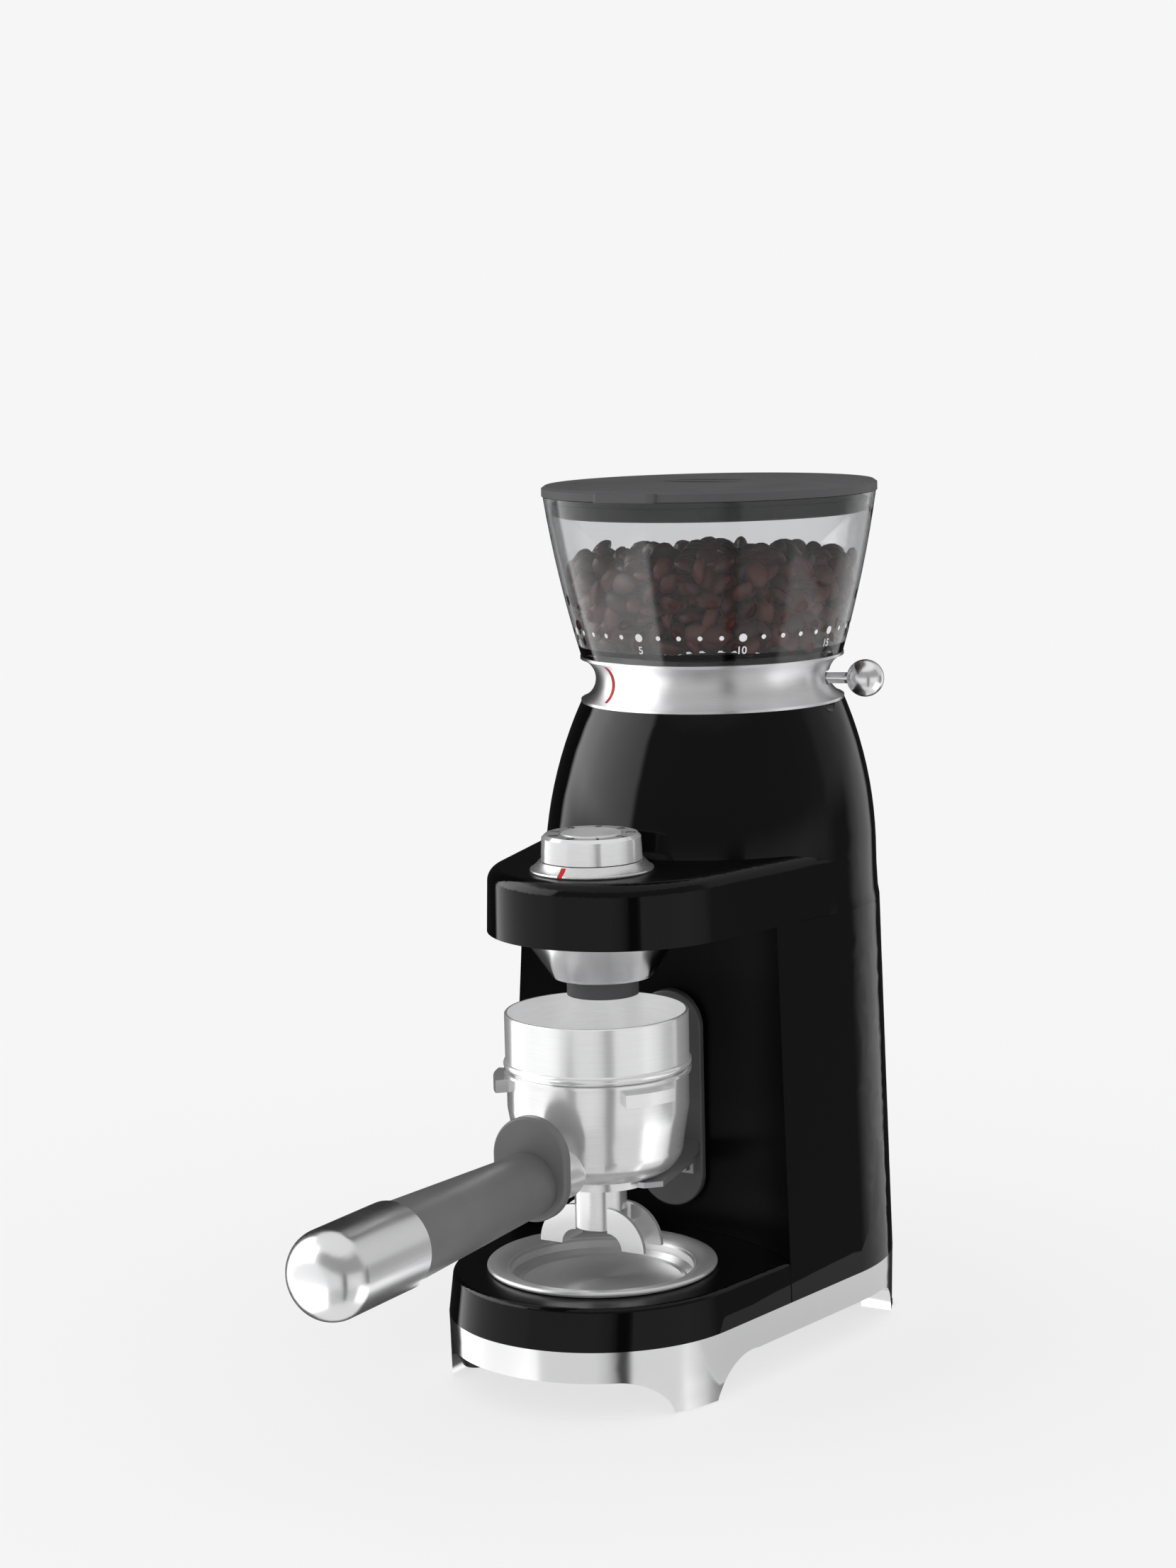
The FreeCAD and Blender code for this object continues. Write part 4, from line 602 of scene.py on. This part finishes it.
def node_finishes() -> dict[str, Finish]:
    """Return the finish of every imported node."""
    axis = (0.0, axis_y(), 0.0)
    cup = (*centre_of("dosing_ring").xy, 0.0)
    dish = (*centre_of("drip_dish").xy, 0.0)
    knob = tuple(centre_of("dose_knob"))
    groups: list[tuple[Finish, tuple[str, ...]]] = [
        (GlossShell("gloss_black"), ("upper_shell", "platform_floor", "chassis")),
        (GlossShell("gloss_black_bay", bay_axis=bay_axis(), bay_radius=BAY_RADIUS), ("lower_shell",)),
        (MattPlastic("dark_grey_plastic", base=(0.082, 0.082, 0.085), roughness=0.55, shine=0.22),
         ("lid", "outlet_sleeve")),
        (MattPlastic("grip_grey_plastic", base=(0.125, 0.125, 0.128), roughness=0.38),
         ("handle_grip", "handle_flange")),
        (MattPlastic("panel_grey_plastic", base=(0.12, 0.12, 0.123), roughness=0.35), ("bracket_panel",)),
        (TurnedSteel("seat_steel", centre=tuple(centre_of("knob_ring")), base=(0.72, 0.72, 0.725),
                     roughness=0.26, stretch=0.4, metal=0.85), ("knob_ring",)),
        (TurnedSteel("funnel_steel", centre=tuple(centre_of("funnel")), base=(0.86, 0.86, 0.865),
                     roughness=0.13, stretch=0.9), ("funnel",)),
        (PolishedSteel("polished_steel", base=(0.83, 0.83, 0.84)), ("base_band", "lever_stem")),
        (PolishedSteel("cap_steel", base=(0.80, 0.80, 0.81), roughness=0.22), ("handle_cap",)),
        (TurnedSteel("ball_steel", centre=tuple(centre_of("lever_ball")), base=(0.9, 0.9, 0.905),
                     roughness=0.22, stretch=0.2), ("lever_ball",)),
        (TurnedSteel("knob_steel", centre=knob, base=(0.80, 0.80, 0.81), roughness=0.12, stretch=0.5,
                     metal=0.5), ("dose_knob",)),
        (TurnedSteel("button_steel", centre=knob, base=(0.70, 0.70, 0.705), roughness=0.30, metal=0.3),
         ("start_button",)),
        (TurnedSteel("ring_steel", centre=cup, base=(0.86, 0.86, 0.865), roughness=0.24, metal=0.55),
         ("dosing_ring",)),
        (TurnedSteel("cup_steel", centre=cup, base=(0.88, 0.88, 0.885), roughness=0.20, metal=0.68),
         ("portafilter_cup", "spout", "filter_basket")),
        (TurnedSteel("collar_steel", centre=axis, base=(0.84, 0.84, 0.85), roughness=0.40, stretch=0.95),
         ("collar",)),
        (TurnedSteel("dish_steel", centre=dish, base=(0.74, 0.74, 0.745), roughness=0.30, metal=0.6),
         ("drip_dish", "base_plate")),
        (PaintedMetal("fork_paint"), ("portafilter_fork",)),
        (ClearBowl("clear_bowl"), ("hopper",)),
        (Rubber("black_rubber"), ("foot_pads", "cord_inlet_bush", "lid_seal", "motor_dampers")),
        (PolishedSteel("ground_steel", base=(0.55, 0.55, 0.56), roughness=0.22),
         ("ring_burr", "cone_burr", "burr_shaft", "burr_nut", "motor_shaft", "lower_bearing",
          "upper_bearing", "base_screws", "motor_pinion")),
        (MattPlastic("inner_nylon", base=(0.20, 0.20, 0.21), roughness=0.5),
         ("lock_ring", "hopper_shutter", "burr_carrier", "sweeper", "grind_chamber", "exit_chute",
          "gear_case", "gear_cover", "motor_mount", "motor_end_bell", "cooling_fan",
          "interlock_switch", "encoder", "drive_gear")),
        (TurnedSteel("motor_plate", centre=axis, base=(0.35, 0.35, 0.36), roughness=0.35),
         ("motor_can", "motor_armature", "motor_magnets", "motor_brushes")),
        (Laminate("circuit_laminate"), ("power_board", "knob_board", "board_parts")),
    ]
    return {node: finish for finish, nodes in groups for node in nodes}


def dress_nodes() -> None:
    """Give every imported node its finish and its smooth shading."""
    finishes = node_finishes()
    for node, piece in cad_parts.items():
        finishes[node].dress(piece)
        weld_smooth(node)
        log.info("node %s wears %s", node, finishes[node].name)


# -------- beans
@dataclass
class Bean:
    """One bean: an egg-like body with a flat face and a wandering groove along it."""

    half_long: float = 6.6 * MM
    half_wide: float = 5.0 * MM
    half_high: float = 4.1 * MM
    around: int = 12
    along: int = 8
    ends: Pair = (0.06, 0.94)
    tip: float = 0.995
    gather: float = 0.42
    flatness: float = 0.55
    groove_width: float = 0.17
    groove_depth: float = 0.30
    wander: float = 0.10
    waves: float = 2.6

    def build(self) -> tuple[np.ndarray, list, np.ndarray]:
        """Return a bean's points, faces and crease strength.

        The bean is an ellipsoid whose lower half is pressed to a share of its height. The
        points of that half gather towards its middle, where a bell-shaped groove of the
        width across follows a sine of the length.
        """
        turn = 2 * np.pi * np.linspace(0, 1, self.around, endpoint=False)
        turn = turn - self.gather * np.sin(2 * turn) * (np.sin(turn) < 0)
        lengthwise = np.linspace(*self.ends, self.along) * np.pi
        t, s = np.meshgrid(turn, lengthwise)
        x = -self.half_long * np.cos(s)
        y = self.half_wide * np.sin(s) * np.cos(t)
        z = self.half_high * np.sin(s) * np.sin(t)
        flat = z < 0
        z = np.where(flat, self.flatness * z, z)
        path = self.wander * self.half_wide * np.sin(x / self.half_long * self.waves)
        groove = np.exp(-((y - path) / (self.groove_width * self.half_wide)) ** 2) * flat * np.sin(s)
        z = z + groove * self.groove_depth * self.half_high
        points = np.stack([x, y, z], axis=-1).reshape(-1, 3)
        ends = np.array([[-self.half_long * self.tip, 0, 0], [self.half_long * self.tip, 0, 0]])
        faces = grid_faces(self.along, self.around, close_cols=True).tolist()
        ring = range(self.around)
        first, last = len(points), len(points) + 1
        base = (self.along - 1) * self.around
        faces += [[first, (i + 1) % self.around, i] for i in ring]
        faces += [[last, base + i, base + (i + 1) % self.around] for i in ring]
        crease = np.concatenate([groove.reshape(-1), [0.0, 0.0]])
        return np.vstack([points, ends]), faces, crease


@dataclass
class BeanHeap:
    """Roasted beans in the bowl: a seeded settling of round grains, then a bean on each."""

    count: int = 640
    seed: int = 11
    grain: float = 4.7 * MM
    wall_gap: float = 2.5 * MM
    bowl_foot: float = 2.0 * MM
    bowl_floor: float = 9.0 * MM
    pour_radius: float = 66.0 * MM
    pour_height: float = 75.0 * MM
    steps: int = 170
    last_steps: int = 30
    fall: float = 0.9 * MM
    last_fall: float = 0.15 * MM
    rounds: int = 2
    push: float = 0.28
    heap_top: float = 345.5 * MM
    stray: float = 4.0 * MM
    tilt: float = 0.9
    backs: float = 0.78
    sizes: Pair = (0.88, 1.10)
    core_radius: float = 46.0 * MM
    core_top: float = 333.5 * MM
    core_crown: float = 1.5 * MM
    core_foot: float = 6.0 * MM
    core_sink: float = 3.0 * MM
    core_heart: float = 20.0 * MM
    core_grid: tuple[int, int] = (14, 48)
    core_close: float = 0.98

    def bowl_radius(self, height: np.ndarray) -> np.ndarray:
        """Return how far from the axis a grain's middle may lie at each height."""
        levels, radius = outer_profile("hopper", (0.0, axis_y()))
        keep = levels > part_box("collar")[1].z - self.bowl_foot
        return np.interp(height, levels[keep], radius[keep]) - self.wall_gap - self.grain

    def settle(self) -> np.ndarray:
        """Return the grains' middles after they have fallen into the bowl.

        Each step lowers every grain a little, pushes overlapping pairs apart along the
        line between them, and puts the grains back between the core and the bowl.
        """
        rng = np.random.default_rng(self.seed)
        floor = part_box("collar")[1].z + self.bowl_floor
        angle = rng.uniform(0, 2 * np.pi, self.count)
        radius = np.sqrt(rng.uniform((self.core_radius / 2) ** 2, self.pour_radius ** 2, self.count))
        place = np.stack([radius * np.cos(angle), radius * np.sin(angle),
                          rng.uniform(floor, floor + self.pour_height, self.count)], axis=1)
        for step in range(self.steps):
            place[:, 2] -= self.fall if step < self.steps - self.last_steps else self.last_fall
            for _ in range(self.rounds):
                square = (place ** 2).sum(axis=1)
                apart = square[:, None] + square[None, :] - 2 * place @ place.T
                dist = np.sqrt(np.clip(apart, 1e-12, None))
                np.fill_diagonal(dist, 1.0)
                push = np.clip(2 * self.grain - dist, 0.0, None) / dist * self.push
                place += place * push.sum(axis=1)[:, None] - push @ place
                place = self.keep_inside(place, floor)
        place[:, 1] += axis_y()
        return place

    def keep_inside(self, place: np.ndarray, floor: float) -> np.ndarray:
        """Return the middles moved back inside the bowl, above its floor and off the core."""
        place[:, 2] = np.clip(place[:, 2], floor, None)
        radius = np.hypot(place[:, 0], place[:, 1]) + 1e-9
        limit = self.bowl_radius(place[:, 2])
        scale = np.where(radius > limit, limit / radius, 1.0)
        place[:, :2] *= scale[:, None]
        radius = np.minimum(radius, limit)
        low = (radius < self.core_radius) & (place[:, 2] < self.core_height(radius))
        place[:, 2] = np.where(low, self.core_height(radius), place[:, 2])
        return place

    def core_height(self, radius: np.ndarray) -> np.ndarray:
        """Return the height of the hidden core: a shallow dome."""
        return self.core_top - self.core_crown * (radius / self.core_radius) ** 2

    def build(self) -> Piece:
        """Make the heap as one piece that rides with the hopper.

        Each bean is turned by a random quaternion, and most of those whose flat face
        looks outwards are turned over.
        """
        middles = self.settle()
        middles = middles[middles[:, 2] < self.heap_top + self.stray]
        rng = np.random.default_rng(self.seed + 1)
        quats = rng.normal(size=(len(middles), 4))
        quats[:, 1:3] *= self.tilt
        quats /= np.linalg.norm(quats, axis=1)[:, None]
        w, x, y, z = quats.T
        turns = np.stack([
            np.stack([1 - 2 * (y * y + z * z), 2 * (x * y - z * w), 2 * (x * z + y * w)], -1),
            np.stack([2 * (x * y + z * w), 1 - 2 * (x * x + z * z), 2 * (y * z - x * w)], -1),
            np.stack([2 * (x * z - y * w), 2 * (y * z + x * w), 1 - 2 * (x * x + y * y)], -1)], 1)
        outward = middles - np.array([0.0, axis_y(), self.core_top - self.core_heart])
        inwards = (turns[:, :, 2] * outward).sum(axis=1) < 0.0
        turned = inwards & (rng.uniform(0, 1, len(middles)) < self.backs)
        turns[turned, :, 1:] *= -1.0
        points, faces, crease = Bean().build()
        size = rng.uniform(*self.sizes, len(middles))
        every = np.einsum("nij,mj->nmi", turns, points) * size[:, None, None] + middles[:, None, :]
        starts = range(0, len(middles) * len(points), len(points))
        all_faces = [[corner + start for corner in face] for start in starts for face in faces]
        piece = add_mesh("bean_heap", every.reshape(-1, 3), all_faces)
        tone = np.repeat(rng.uniform(0, 1, len(middles)), len(points))
        for name, values in (("tone", tone), ("crease", np.tile(crease, len(middles)))):
            layer = piece.data.attributes.new(name, "FLOAT", "POINT")
            layer.data.foreach_set("value", values.astype(np.float32))
        RoastedBean("roasted_bean").dress(piece)
        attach(piece, "hopper_body")
        return piece

    def build_core(self) -> Piece:
        """Make the dark mass below the top beans, so that no light shows between them.

        Its radius falls as the square root of one less the fourth power of the height's share.
        """
        rings, sides = self.core_grid
        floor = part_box("collar")[1].z + self.core_foot
        share = np.linspace(0, 1, rings)
        radius = self.core_radius * np.sqrt(1 - (share * self.core_close) ** 4)
        height = floor + (self.core_top - self.core_sink - floor) * share
        across = radius[:, None, None] * circle(sides) + np.array([0.0, axis_y()])
        grid = np.dstack([across, np.broadcast_to(height[:, None], (rings, sides))])
        piece = closed_loft("bean_core", grid)
        RoastedBean("roasted_bean").dress(piece)
        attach(piece, "hopper_body")
        return piece


# -------- print
def text_points(text: str, height: float, weight: float) -> Flat:
    """Return a number's flat points, centred, and its faces.

    Args:
        text: The digits.
        height: Height of the digits.
        weight: How far the strokes are thickened, as a share of the height.

    Returns:
        Points in two columns, and the faces as lists of point numbers.
    """
    curve = bpy.data.curves.new("digits", "FONT")
    curve.body = text
    curve.size = 1.0
    curve.offset = weight
    holder = bpy.data.objects.new("digits", curve)
    bpy.context.scene.collection.objects.link(holder)
    bpy.context.view_layer.update()
    mesh = bpy.data.meshes.new_from_object(holder.evaluated_get(bpy.context.evaluated_depsgraph_get()))
    points = np.array([v.co[:2] for v in mesh.vertices], float)
    faces = [list(p.vertices) for p in mesh.polygons]
    bpy.data.objects.remove(holder)
    bpy.data.curves.remove(curve)
    bpy.data.meshes.remove(mesh)
    low, high = points.min(axis=0), points.max(axis=0)
    return (points - (low + high) / 2) * (height / DIGIT_HEIGHT), faces


def dot_points(radius: float, sides: int) -> Flat:
    """Return the flat points and the single face of a round dot."""
    return circle(sides) * radius, [list(range(sides))]


def joined(parts: list[Flat]) -> Flat:
    """Return the points of several parts in one stack, with their faces counted on."""
    starts = np.cumsum([0] + [len(points) for points, _ in parts]).tolist()
    faces = [[corner + start for corner in face] for start, (_, rows) in zip(starts, parts) for face in rows]
    return np.vstack([points for points, _ in parts]), faces


@dataclass
class BowlScale:
    """Grind scale printed round the foot of the bowl: dots with plain numbers below."""

    first: float = -44.5
    step: float = 8.6
    marks: int = 31
    dot_height: float = 318.0 * MM
    digit_height: float = 312.4 * MM
    big_dot: float = 1.8 * MM
    small_dot: float = 1.05 * MM
    big_every: int = 5
    dot_sides: int = 24
    digit_size: float = 3.3 * MM
    digit_weight: float = 0.012
    lift: float = 0.06 * MM

    def on_bowl(self, flat: np.ndarray, degrees: float, height: float) -> np.ndarray:
        """Return flat print laid round the bowl.

        Sideways becomes an arc at the bowl's radius, counted from the front, and upwards
        becomes height, at the bowl's outer radius for that height plus a hair.
        """
        levels, radius = outer_profile("hopper", (0.0, axis_y()))
        z = height + flat[:, 1]
        r = np.interp(z, levels, radius) + self.lift
        angle = math.radians(degrees - 90.0) + flat[:, 0] / r
        return np.stack([r * np.cos(angle), r * np.sin(angle) + axis_y(), z], axis=1)

    def build(self) -> Piece:
        """Make the dots and the numbers as one piece that rides with the hopper."""
        parts = []
        for mark in range(self.marks):
            degrees = self.first + mark * self.step
            big = mark % self.big_every == 0
            dot, face = dot_points(self.big_dot if big else self.small_dot, self.dot_sides)
            parts.append((self.on_bowl(dot, degrees, self.dot_height), face))
            if big:
                digits, faces = text_points(str(mark), self.digit_size, self.digit_weight)
                parts.append((self.on_bowl(digits, degrees, self.digit_height), faces))
        piece = add_mesh("bowl_scale", *joined(parts), smooth=False)
        Ink("white_ink").dress(piece)
        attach(piece, "hopper_body")
        return piece


@dataclass
class KnobPrint:
    """Plain numbers printed round the knob's top."""

    marks: int = 9
    step: float = 40.0
    radius: float = 17.0 * MM
    digit_size: float = 4.2 * MM
    digit_weight: float = 0.03
    lift: float = 0.05 * MM

    def build(self) -> Piece:
        """Make the numbers, upright as seen from outside the knob."""
        centre = centre_of("dose_knob")
        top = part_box("dose_knob")[1].z + self.lift
        parts = []
        for mark in range(self.marks):
            flat, faces = text_points(str(mark), self.digit_size, self.digit_weight)
            angle = math.radians(mark * self.step - 90.0)
            outward = np.array([math.cos(angle), math.sin(angle)])
            sideways = np.array([-outward[1], outward[0]])
            spot = flat[:, :1] * sideways + (self.radius - flat[:, 1:]) * outward
            parts.append((np.column_stack([spot + [centre.x, centre.y], np.full(len(flat), top)]), faces))
        piece = add_mesh("knob_numbers", *joined(parts), smooth=False)
        Ink("black_ink", base=(0.03, 0.03, 0.03)).dress(piece)
        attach(piece, "knob_body")
        return piece


@dataclass
class RedMarks:
    """Red index lines: one on the collar's side for the grind scale, one on the knob's seat."""

    degrees: float = -27.5
    half_width: float = 0.95 * MM
    lift: float = 0.2 * MM
    rows: int = 40
    margin: float = 2.5 * MM
    knob_degrees: float = 0.0
    knob_half_width: float = 1.1 * MM
    knob_margins: Pair = (0.5 * MM, 0.3 * MM)

    def strip(self, name: str, node: str, centre: Pair, degrees: float, half_width: float,
              span: Pair) -> Piece:
        """Lay an upright strip on a turned node's outer wall.

        Its rows follow the wall's radius against height, a hair outside, and its sides
        stand half a width each way along the wall.
        """
        levels, radius = outer_profile(node, centre)
        z = np.linspace(*span, self.rows)
        r = np.interp(z, levels, radius) + self.lift
        sides = np.array([-1.0, 0.0, 1.0])[None, :]
        turn = math.radians(degrees - 90.0) + sides * (half_width / r)[:, None]
        grid = np.stack([r[:, None] * np.cos(turn) + centre[0], r[:, None] * np.sin(turn) + centre[1],
                         np.broadcast_to(z[:, None], turn.shape)], axis=-1)
        piece = add_mesh(name, grid, grid_faces(self.rows, 3)[:, ::-1])
        Ink("red_ink", base=(0.55, 0.012, 0.016)).dress(piece)
        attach(piece, "body")
        return piece

    def build(self) -> list[Piece]:
        """Make both marks."""
        low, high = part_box("collar")
        collar = self.strip("collar_index", "collar", (0.0, axis_y()), self.degrees, self.half_width,
                            (low.z + self.margin, high.z - self.margin))
        low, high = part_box("knob_ring")
        seat = centre_of("knob_ring")
        below, above = self.knob_margins
        knob = self.strip("knob_index", "knob_ring", (seat.x, seat.y), self.knob_degrees,
                          self.knob_half_width, (low.z + below, high.z - above))
        return [collar, knob]


# -------- studio
class Band(Enum):
    """Which ring of the studio a mirrored direction meets."""

    LOW = "near the horizon"
    HIGH = "above it"
    UNDER = "below it"


@dataclass
class Studio:
    """White sweep, a world with soft boxes and dark flags, and the camera."""

    camera_side: float = -61.13
    white: float = 0.922
    even: float = 0.95
    peak: float = 10.0
    ceiling: float = 0.85
    high_from: Pair = (0.02, 0.20)
    ceiling_from: Pair = (0.62, 0.80)
    under_from: Pair = (-0.35, -0.41)
    ground_from: Pair = (-0.74, -0.84)
    lens: float = 74.78
    sensor: float = 36.0
    camera_place: Triple = (0.71099, -1.28814, 0.46314)
    azimuth: float = 28.9
    yaw: float = 2.24
    pitch: float = 8.39
    roll: float = -1.38
    near_floor: float = 0.36
    far_floor: float = 60.0
    floor_sides: int = 96
    card_width: float = 0.105
    card_lift: float = 0.05 * MM
    card_reach: Pair = (-0.06, 0.40)
    card_colour: float = 0.86
    floor_colour: float = 0.9705
    lamp_power: float = 0.030
    lamp_size: float = 12.0 * MM

    def floor(self) -> None:
        """Make the floor, and beside the base the only strip of it that metal reflects."""
        finish = Sweep("white_sweep", base=self.floor_colour)
        middle = Vector((0.0, centre_of("base_band").y, 0.0))
        sides = self.floor_sides
        edge = np.column_stack([circle(sides), np.zeros(sides)])
        near = add_mesh("floor_near", edge * self.near_floor + middle, [list(range(sides))], smooth=False)
        rings = np.stack([edge * self.near_floor, edge * self.far_floor]) + np.array(middle)
        far = add_mesh("floor_far", rings, grid_faces(2, sides, close_cols=True), smooth=False)
        near.visible_glossy = far.visible_glossy = False
        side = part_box("base_band")[1].x
        rows = middle.y + np.array(self.card_reach)
        away = side + self.card_width
        corners = [(side, rows[0]), (away, rows[0]), (away, rows[1]), (side, rows[1])]
        lying = np.array([(x, y, self.card_lift) for x, y in corners])
        card = add_mesh("floor_card", lying, [[0, 1, 2, 3]], smooth=False)
        card.visible_camera = card.visible_shadow = card.visible_diffuse = False
        for part in (near, far):
            finish.dress(part)
        Sweep("card_white", base=self.card_colour).dress(card)

    def compass_lights(self) -> dict[Band, list[Pair]]:
        """Return the glossy brightness round the compass, low down, higher up and well below.

        Degrees count from the camera's side, rising to its right. On the left stands a
        strong box with a sharp inner edge, in front an even fill with a dark slit where
        the camera stands, on the right a weaker box, and everything behind is dark.
        """
        low = [(-180, 0.02), (-134, 0.02), (-129, 2.3), (-116, 1.6), (-100, 1.20), (-85, 1.05), (-70, 0.98),
               (-57, 0.95), (-53, 0.80), (-4, 0.84), (5, 0.66), (11, 0.30), (13, 0.05), (19, 0.05),
               (22, 0.22), (23.5, 0.84), (66, 0.84), (84, 0.60), (96, 0.22), (109, 0.16), (116, 0.60),
               (126, 0.90), (146, 0.90), (152, 0.02), (180, 0.02)]
        high = [(-180, 0.02), (-134, 0.02), (-129, 3.0), (-110, 4.2), (-93, 4.1), (-75, 3.5), (-61, 2.9),
                (-57, 0.36), (0, 0.34), (60, 0.34), (88, 0.36), (94, 0.60), (120, 0.68), (149, 0.56),
                (153, 0.22), (168, 0.22), (174, 0.02), (180, 0.02)]
        under = [(-180, 0.04), (-129, 0.04), (-123, 1.8), (-95, 2.4), (-70, 3.2), (-50, 4.0), (-46, 0.62),
                 (9, 0.55), (13, 0.05), (19, 0.05), (22, 0.20), (23.5, 0.66), (62, 0.62), (68, 2.2),
                 (95, 1.6), (126, 1.2), (131, 0.10), (180, 0.04)]
        return {Band.LOW: low, Band.HIGH: high, Band.UNDER: under}

    def world(self) -> None:
        """Light the scene from a world whose brightness depends on the direction.

        Turned so that zero faces the camera's side, glossy rays see one ramp round the
        compass near the horizon, another above it and one below it, with a ceiling on top
        and ground as pale straight down. Matt faces see an even light, and the camera a
        plain white, straight or through the bowl.
        """
        world = bpy.data.worlds.new("studio")
        bpy.context.scene.world = world
        world.use_nodes = True
        world.cycles.sampling_method = "NONE"
        tree = Tree(world.node_tree)
        way = tree.add("ShaderNodeTexCoord").outputs["Generated"]
        turn = (0, 0, -math.radians(self.camera_side))
        turned = tree.add("ShaderNodeMapping", {"Vector": way, "Rotation": turn})
        parts = tree.add("ShaderNodeSeparateXYZ", {"Vector": turned.outputs[0]})
        compass = tree.math("ARCTAN2", parts.outputs["Y"], parts.outputs["X"])
        share = tree.math("MULTIPLY_ADD", compass, 0.5 / math.pi, 0.5)
        rings = {}
        for band, lights in self.compass_lights().items():
            stops = [(degrees / 360.0 + 0.5, value / self.peak) for degrees, value in lights]
            rings[band] = tree.math("MULTIPLY", tree.ramp(share, stops), self.peak)

        def mix(share: Socket, first: Socket | float, second: Socket | float) -> Socket:
            """Return a plain mix of two brightnesses."""
            return tree.add("ShaderNodeMix", {0: share, 2: first, 3: second}, data_type="FLOAT").outputs[0]

        pattern = rings[Band.LOW]
        for heights, band in ((self.high_from, rings[Band.HIGH]), (self.ceiling_from, self.ceiling),
                              (self.under_from, rings[Band.UNDER]), (self.ground_from, self.ceiling)):
            step = tree.span(parts.outputs["Z"], 0.0, 1.0, *heights, interpolation_type="SMOOTHSTEP")
            pattern = mix(step, pattern, band)
        path = tree.add("ShaderNodeLightPath")
        mirrored = tree.math("GREATER_THAN", path.outputs["Glossy Depth"], 0.5)
        scattered = tree.math("GREATER_THAN", path.outputs["Diffuse Depth"], 0.5)
        final = mix(scattered, mix(mirrored, self.white, pattern), self.even)
        shader = tree.add("ShaderNodeBackground", {"Color": (1, 1, 1, 1), "Strength": final})
        tree.add("ShaderNodeOutputWorld", {"Surface": shader.outputs[0]})

    def lamp(self) -> None:
        """Hang a small soft lamp in the ring's mouth, which the platform would leave dark."""
        data = bpy.data.lights.new("ring_lamp", "POINT")
        data.energy = self.lamp_power
        data.shadow_soft_size = self.lamp_size
        lamp = bpy.data.objects.new("ring_lamp", data)
        lamp.location = centre_of("dosing_ring")
        lamp.visible_camera = lamp.visible_glossy = False
        bpy.context.scene.collection.objects.link(lamp)

    def camera(self) -> None:
        """Place the camera by its position and its heading, pitch and roll."""
        data = bpy.data.cameras.new("camera")
        data.lens = self.lens
        data.sensor_width = self.sensor
        camera = bpy.data.objects.new("camera", data)
        bpy.context.scene.collection.objects.link(camera)
        a = math.radians(self.azimuth)
        heading = math.atan2(math.cos(a), -math.sin(a)) + math.radians(self.yaw)
        pitch, roll = math.radians(self.pitch), math.radians(self.roll)
        level = math.cos(pitch)
        ahead = Vector((math.cos(heading) * level, math.sin(heading) * level, -math.sin(pitch)))
        right = ahead.cross(Vector((0, 0, 1))).normalized()
        up = right.cross(ahead)
        right_rolled = right * math.cos(roll) + up * math.sin(roll)
        up_rolled = up * math.cos(roll) - right * math.sin(roll)
        turn = Matrix((right_rolled, up_rolled, -ahead)).transposed().to_4x4()
        place = Vector(self.camera_place) + Vector((0, axis_y(), 0))
        camera.matrix_world = Matrix.Translation(place) @ turn
        bpy.context.scene.camera = camera

    def build(self) -> None:
        """Make the floor, the world, the ring's lamp and the camera."""
        bpy.context.scene.view_settings.view_transform = "Standard"
        self.floor()
        self.world()
        self.lamp()
        self.camera()


def main() -> None:
    """Dress the nodes, add the pieces and set up the studio."""
    logging.basicConfig(level=logging.INFO)
    Studio().build()
    dress_nodes()
    heap = BeanHeap()
    pieces = [heap.build(), heap.build_core(), BowlScale().build(), KnobPrint().build(), *RedMarks().build()]
    for piece in pieces:
        log.info("piece %s has %d faces", piece.name, len(piece.data.polygons))


if __name__ == "__main__":
    main()
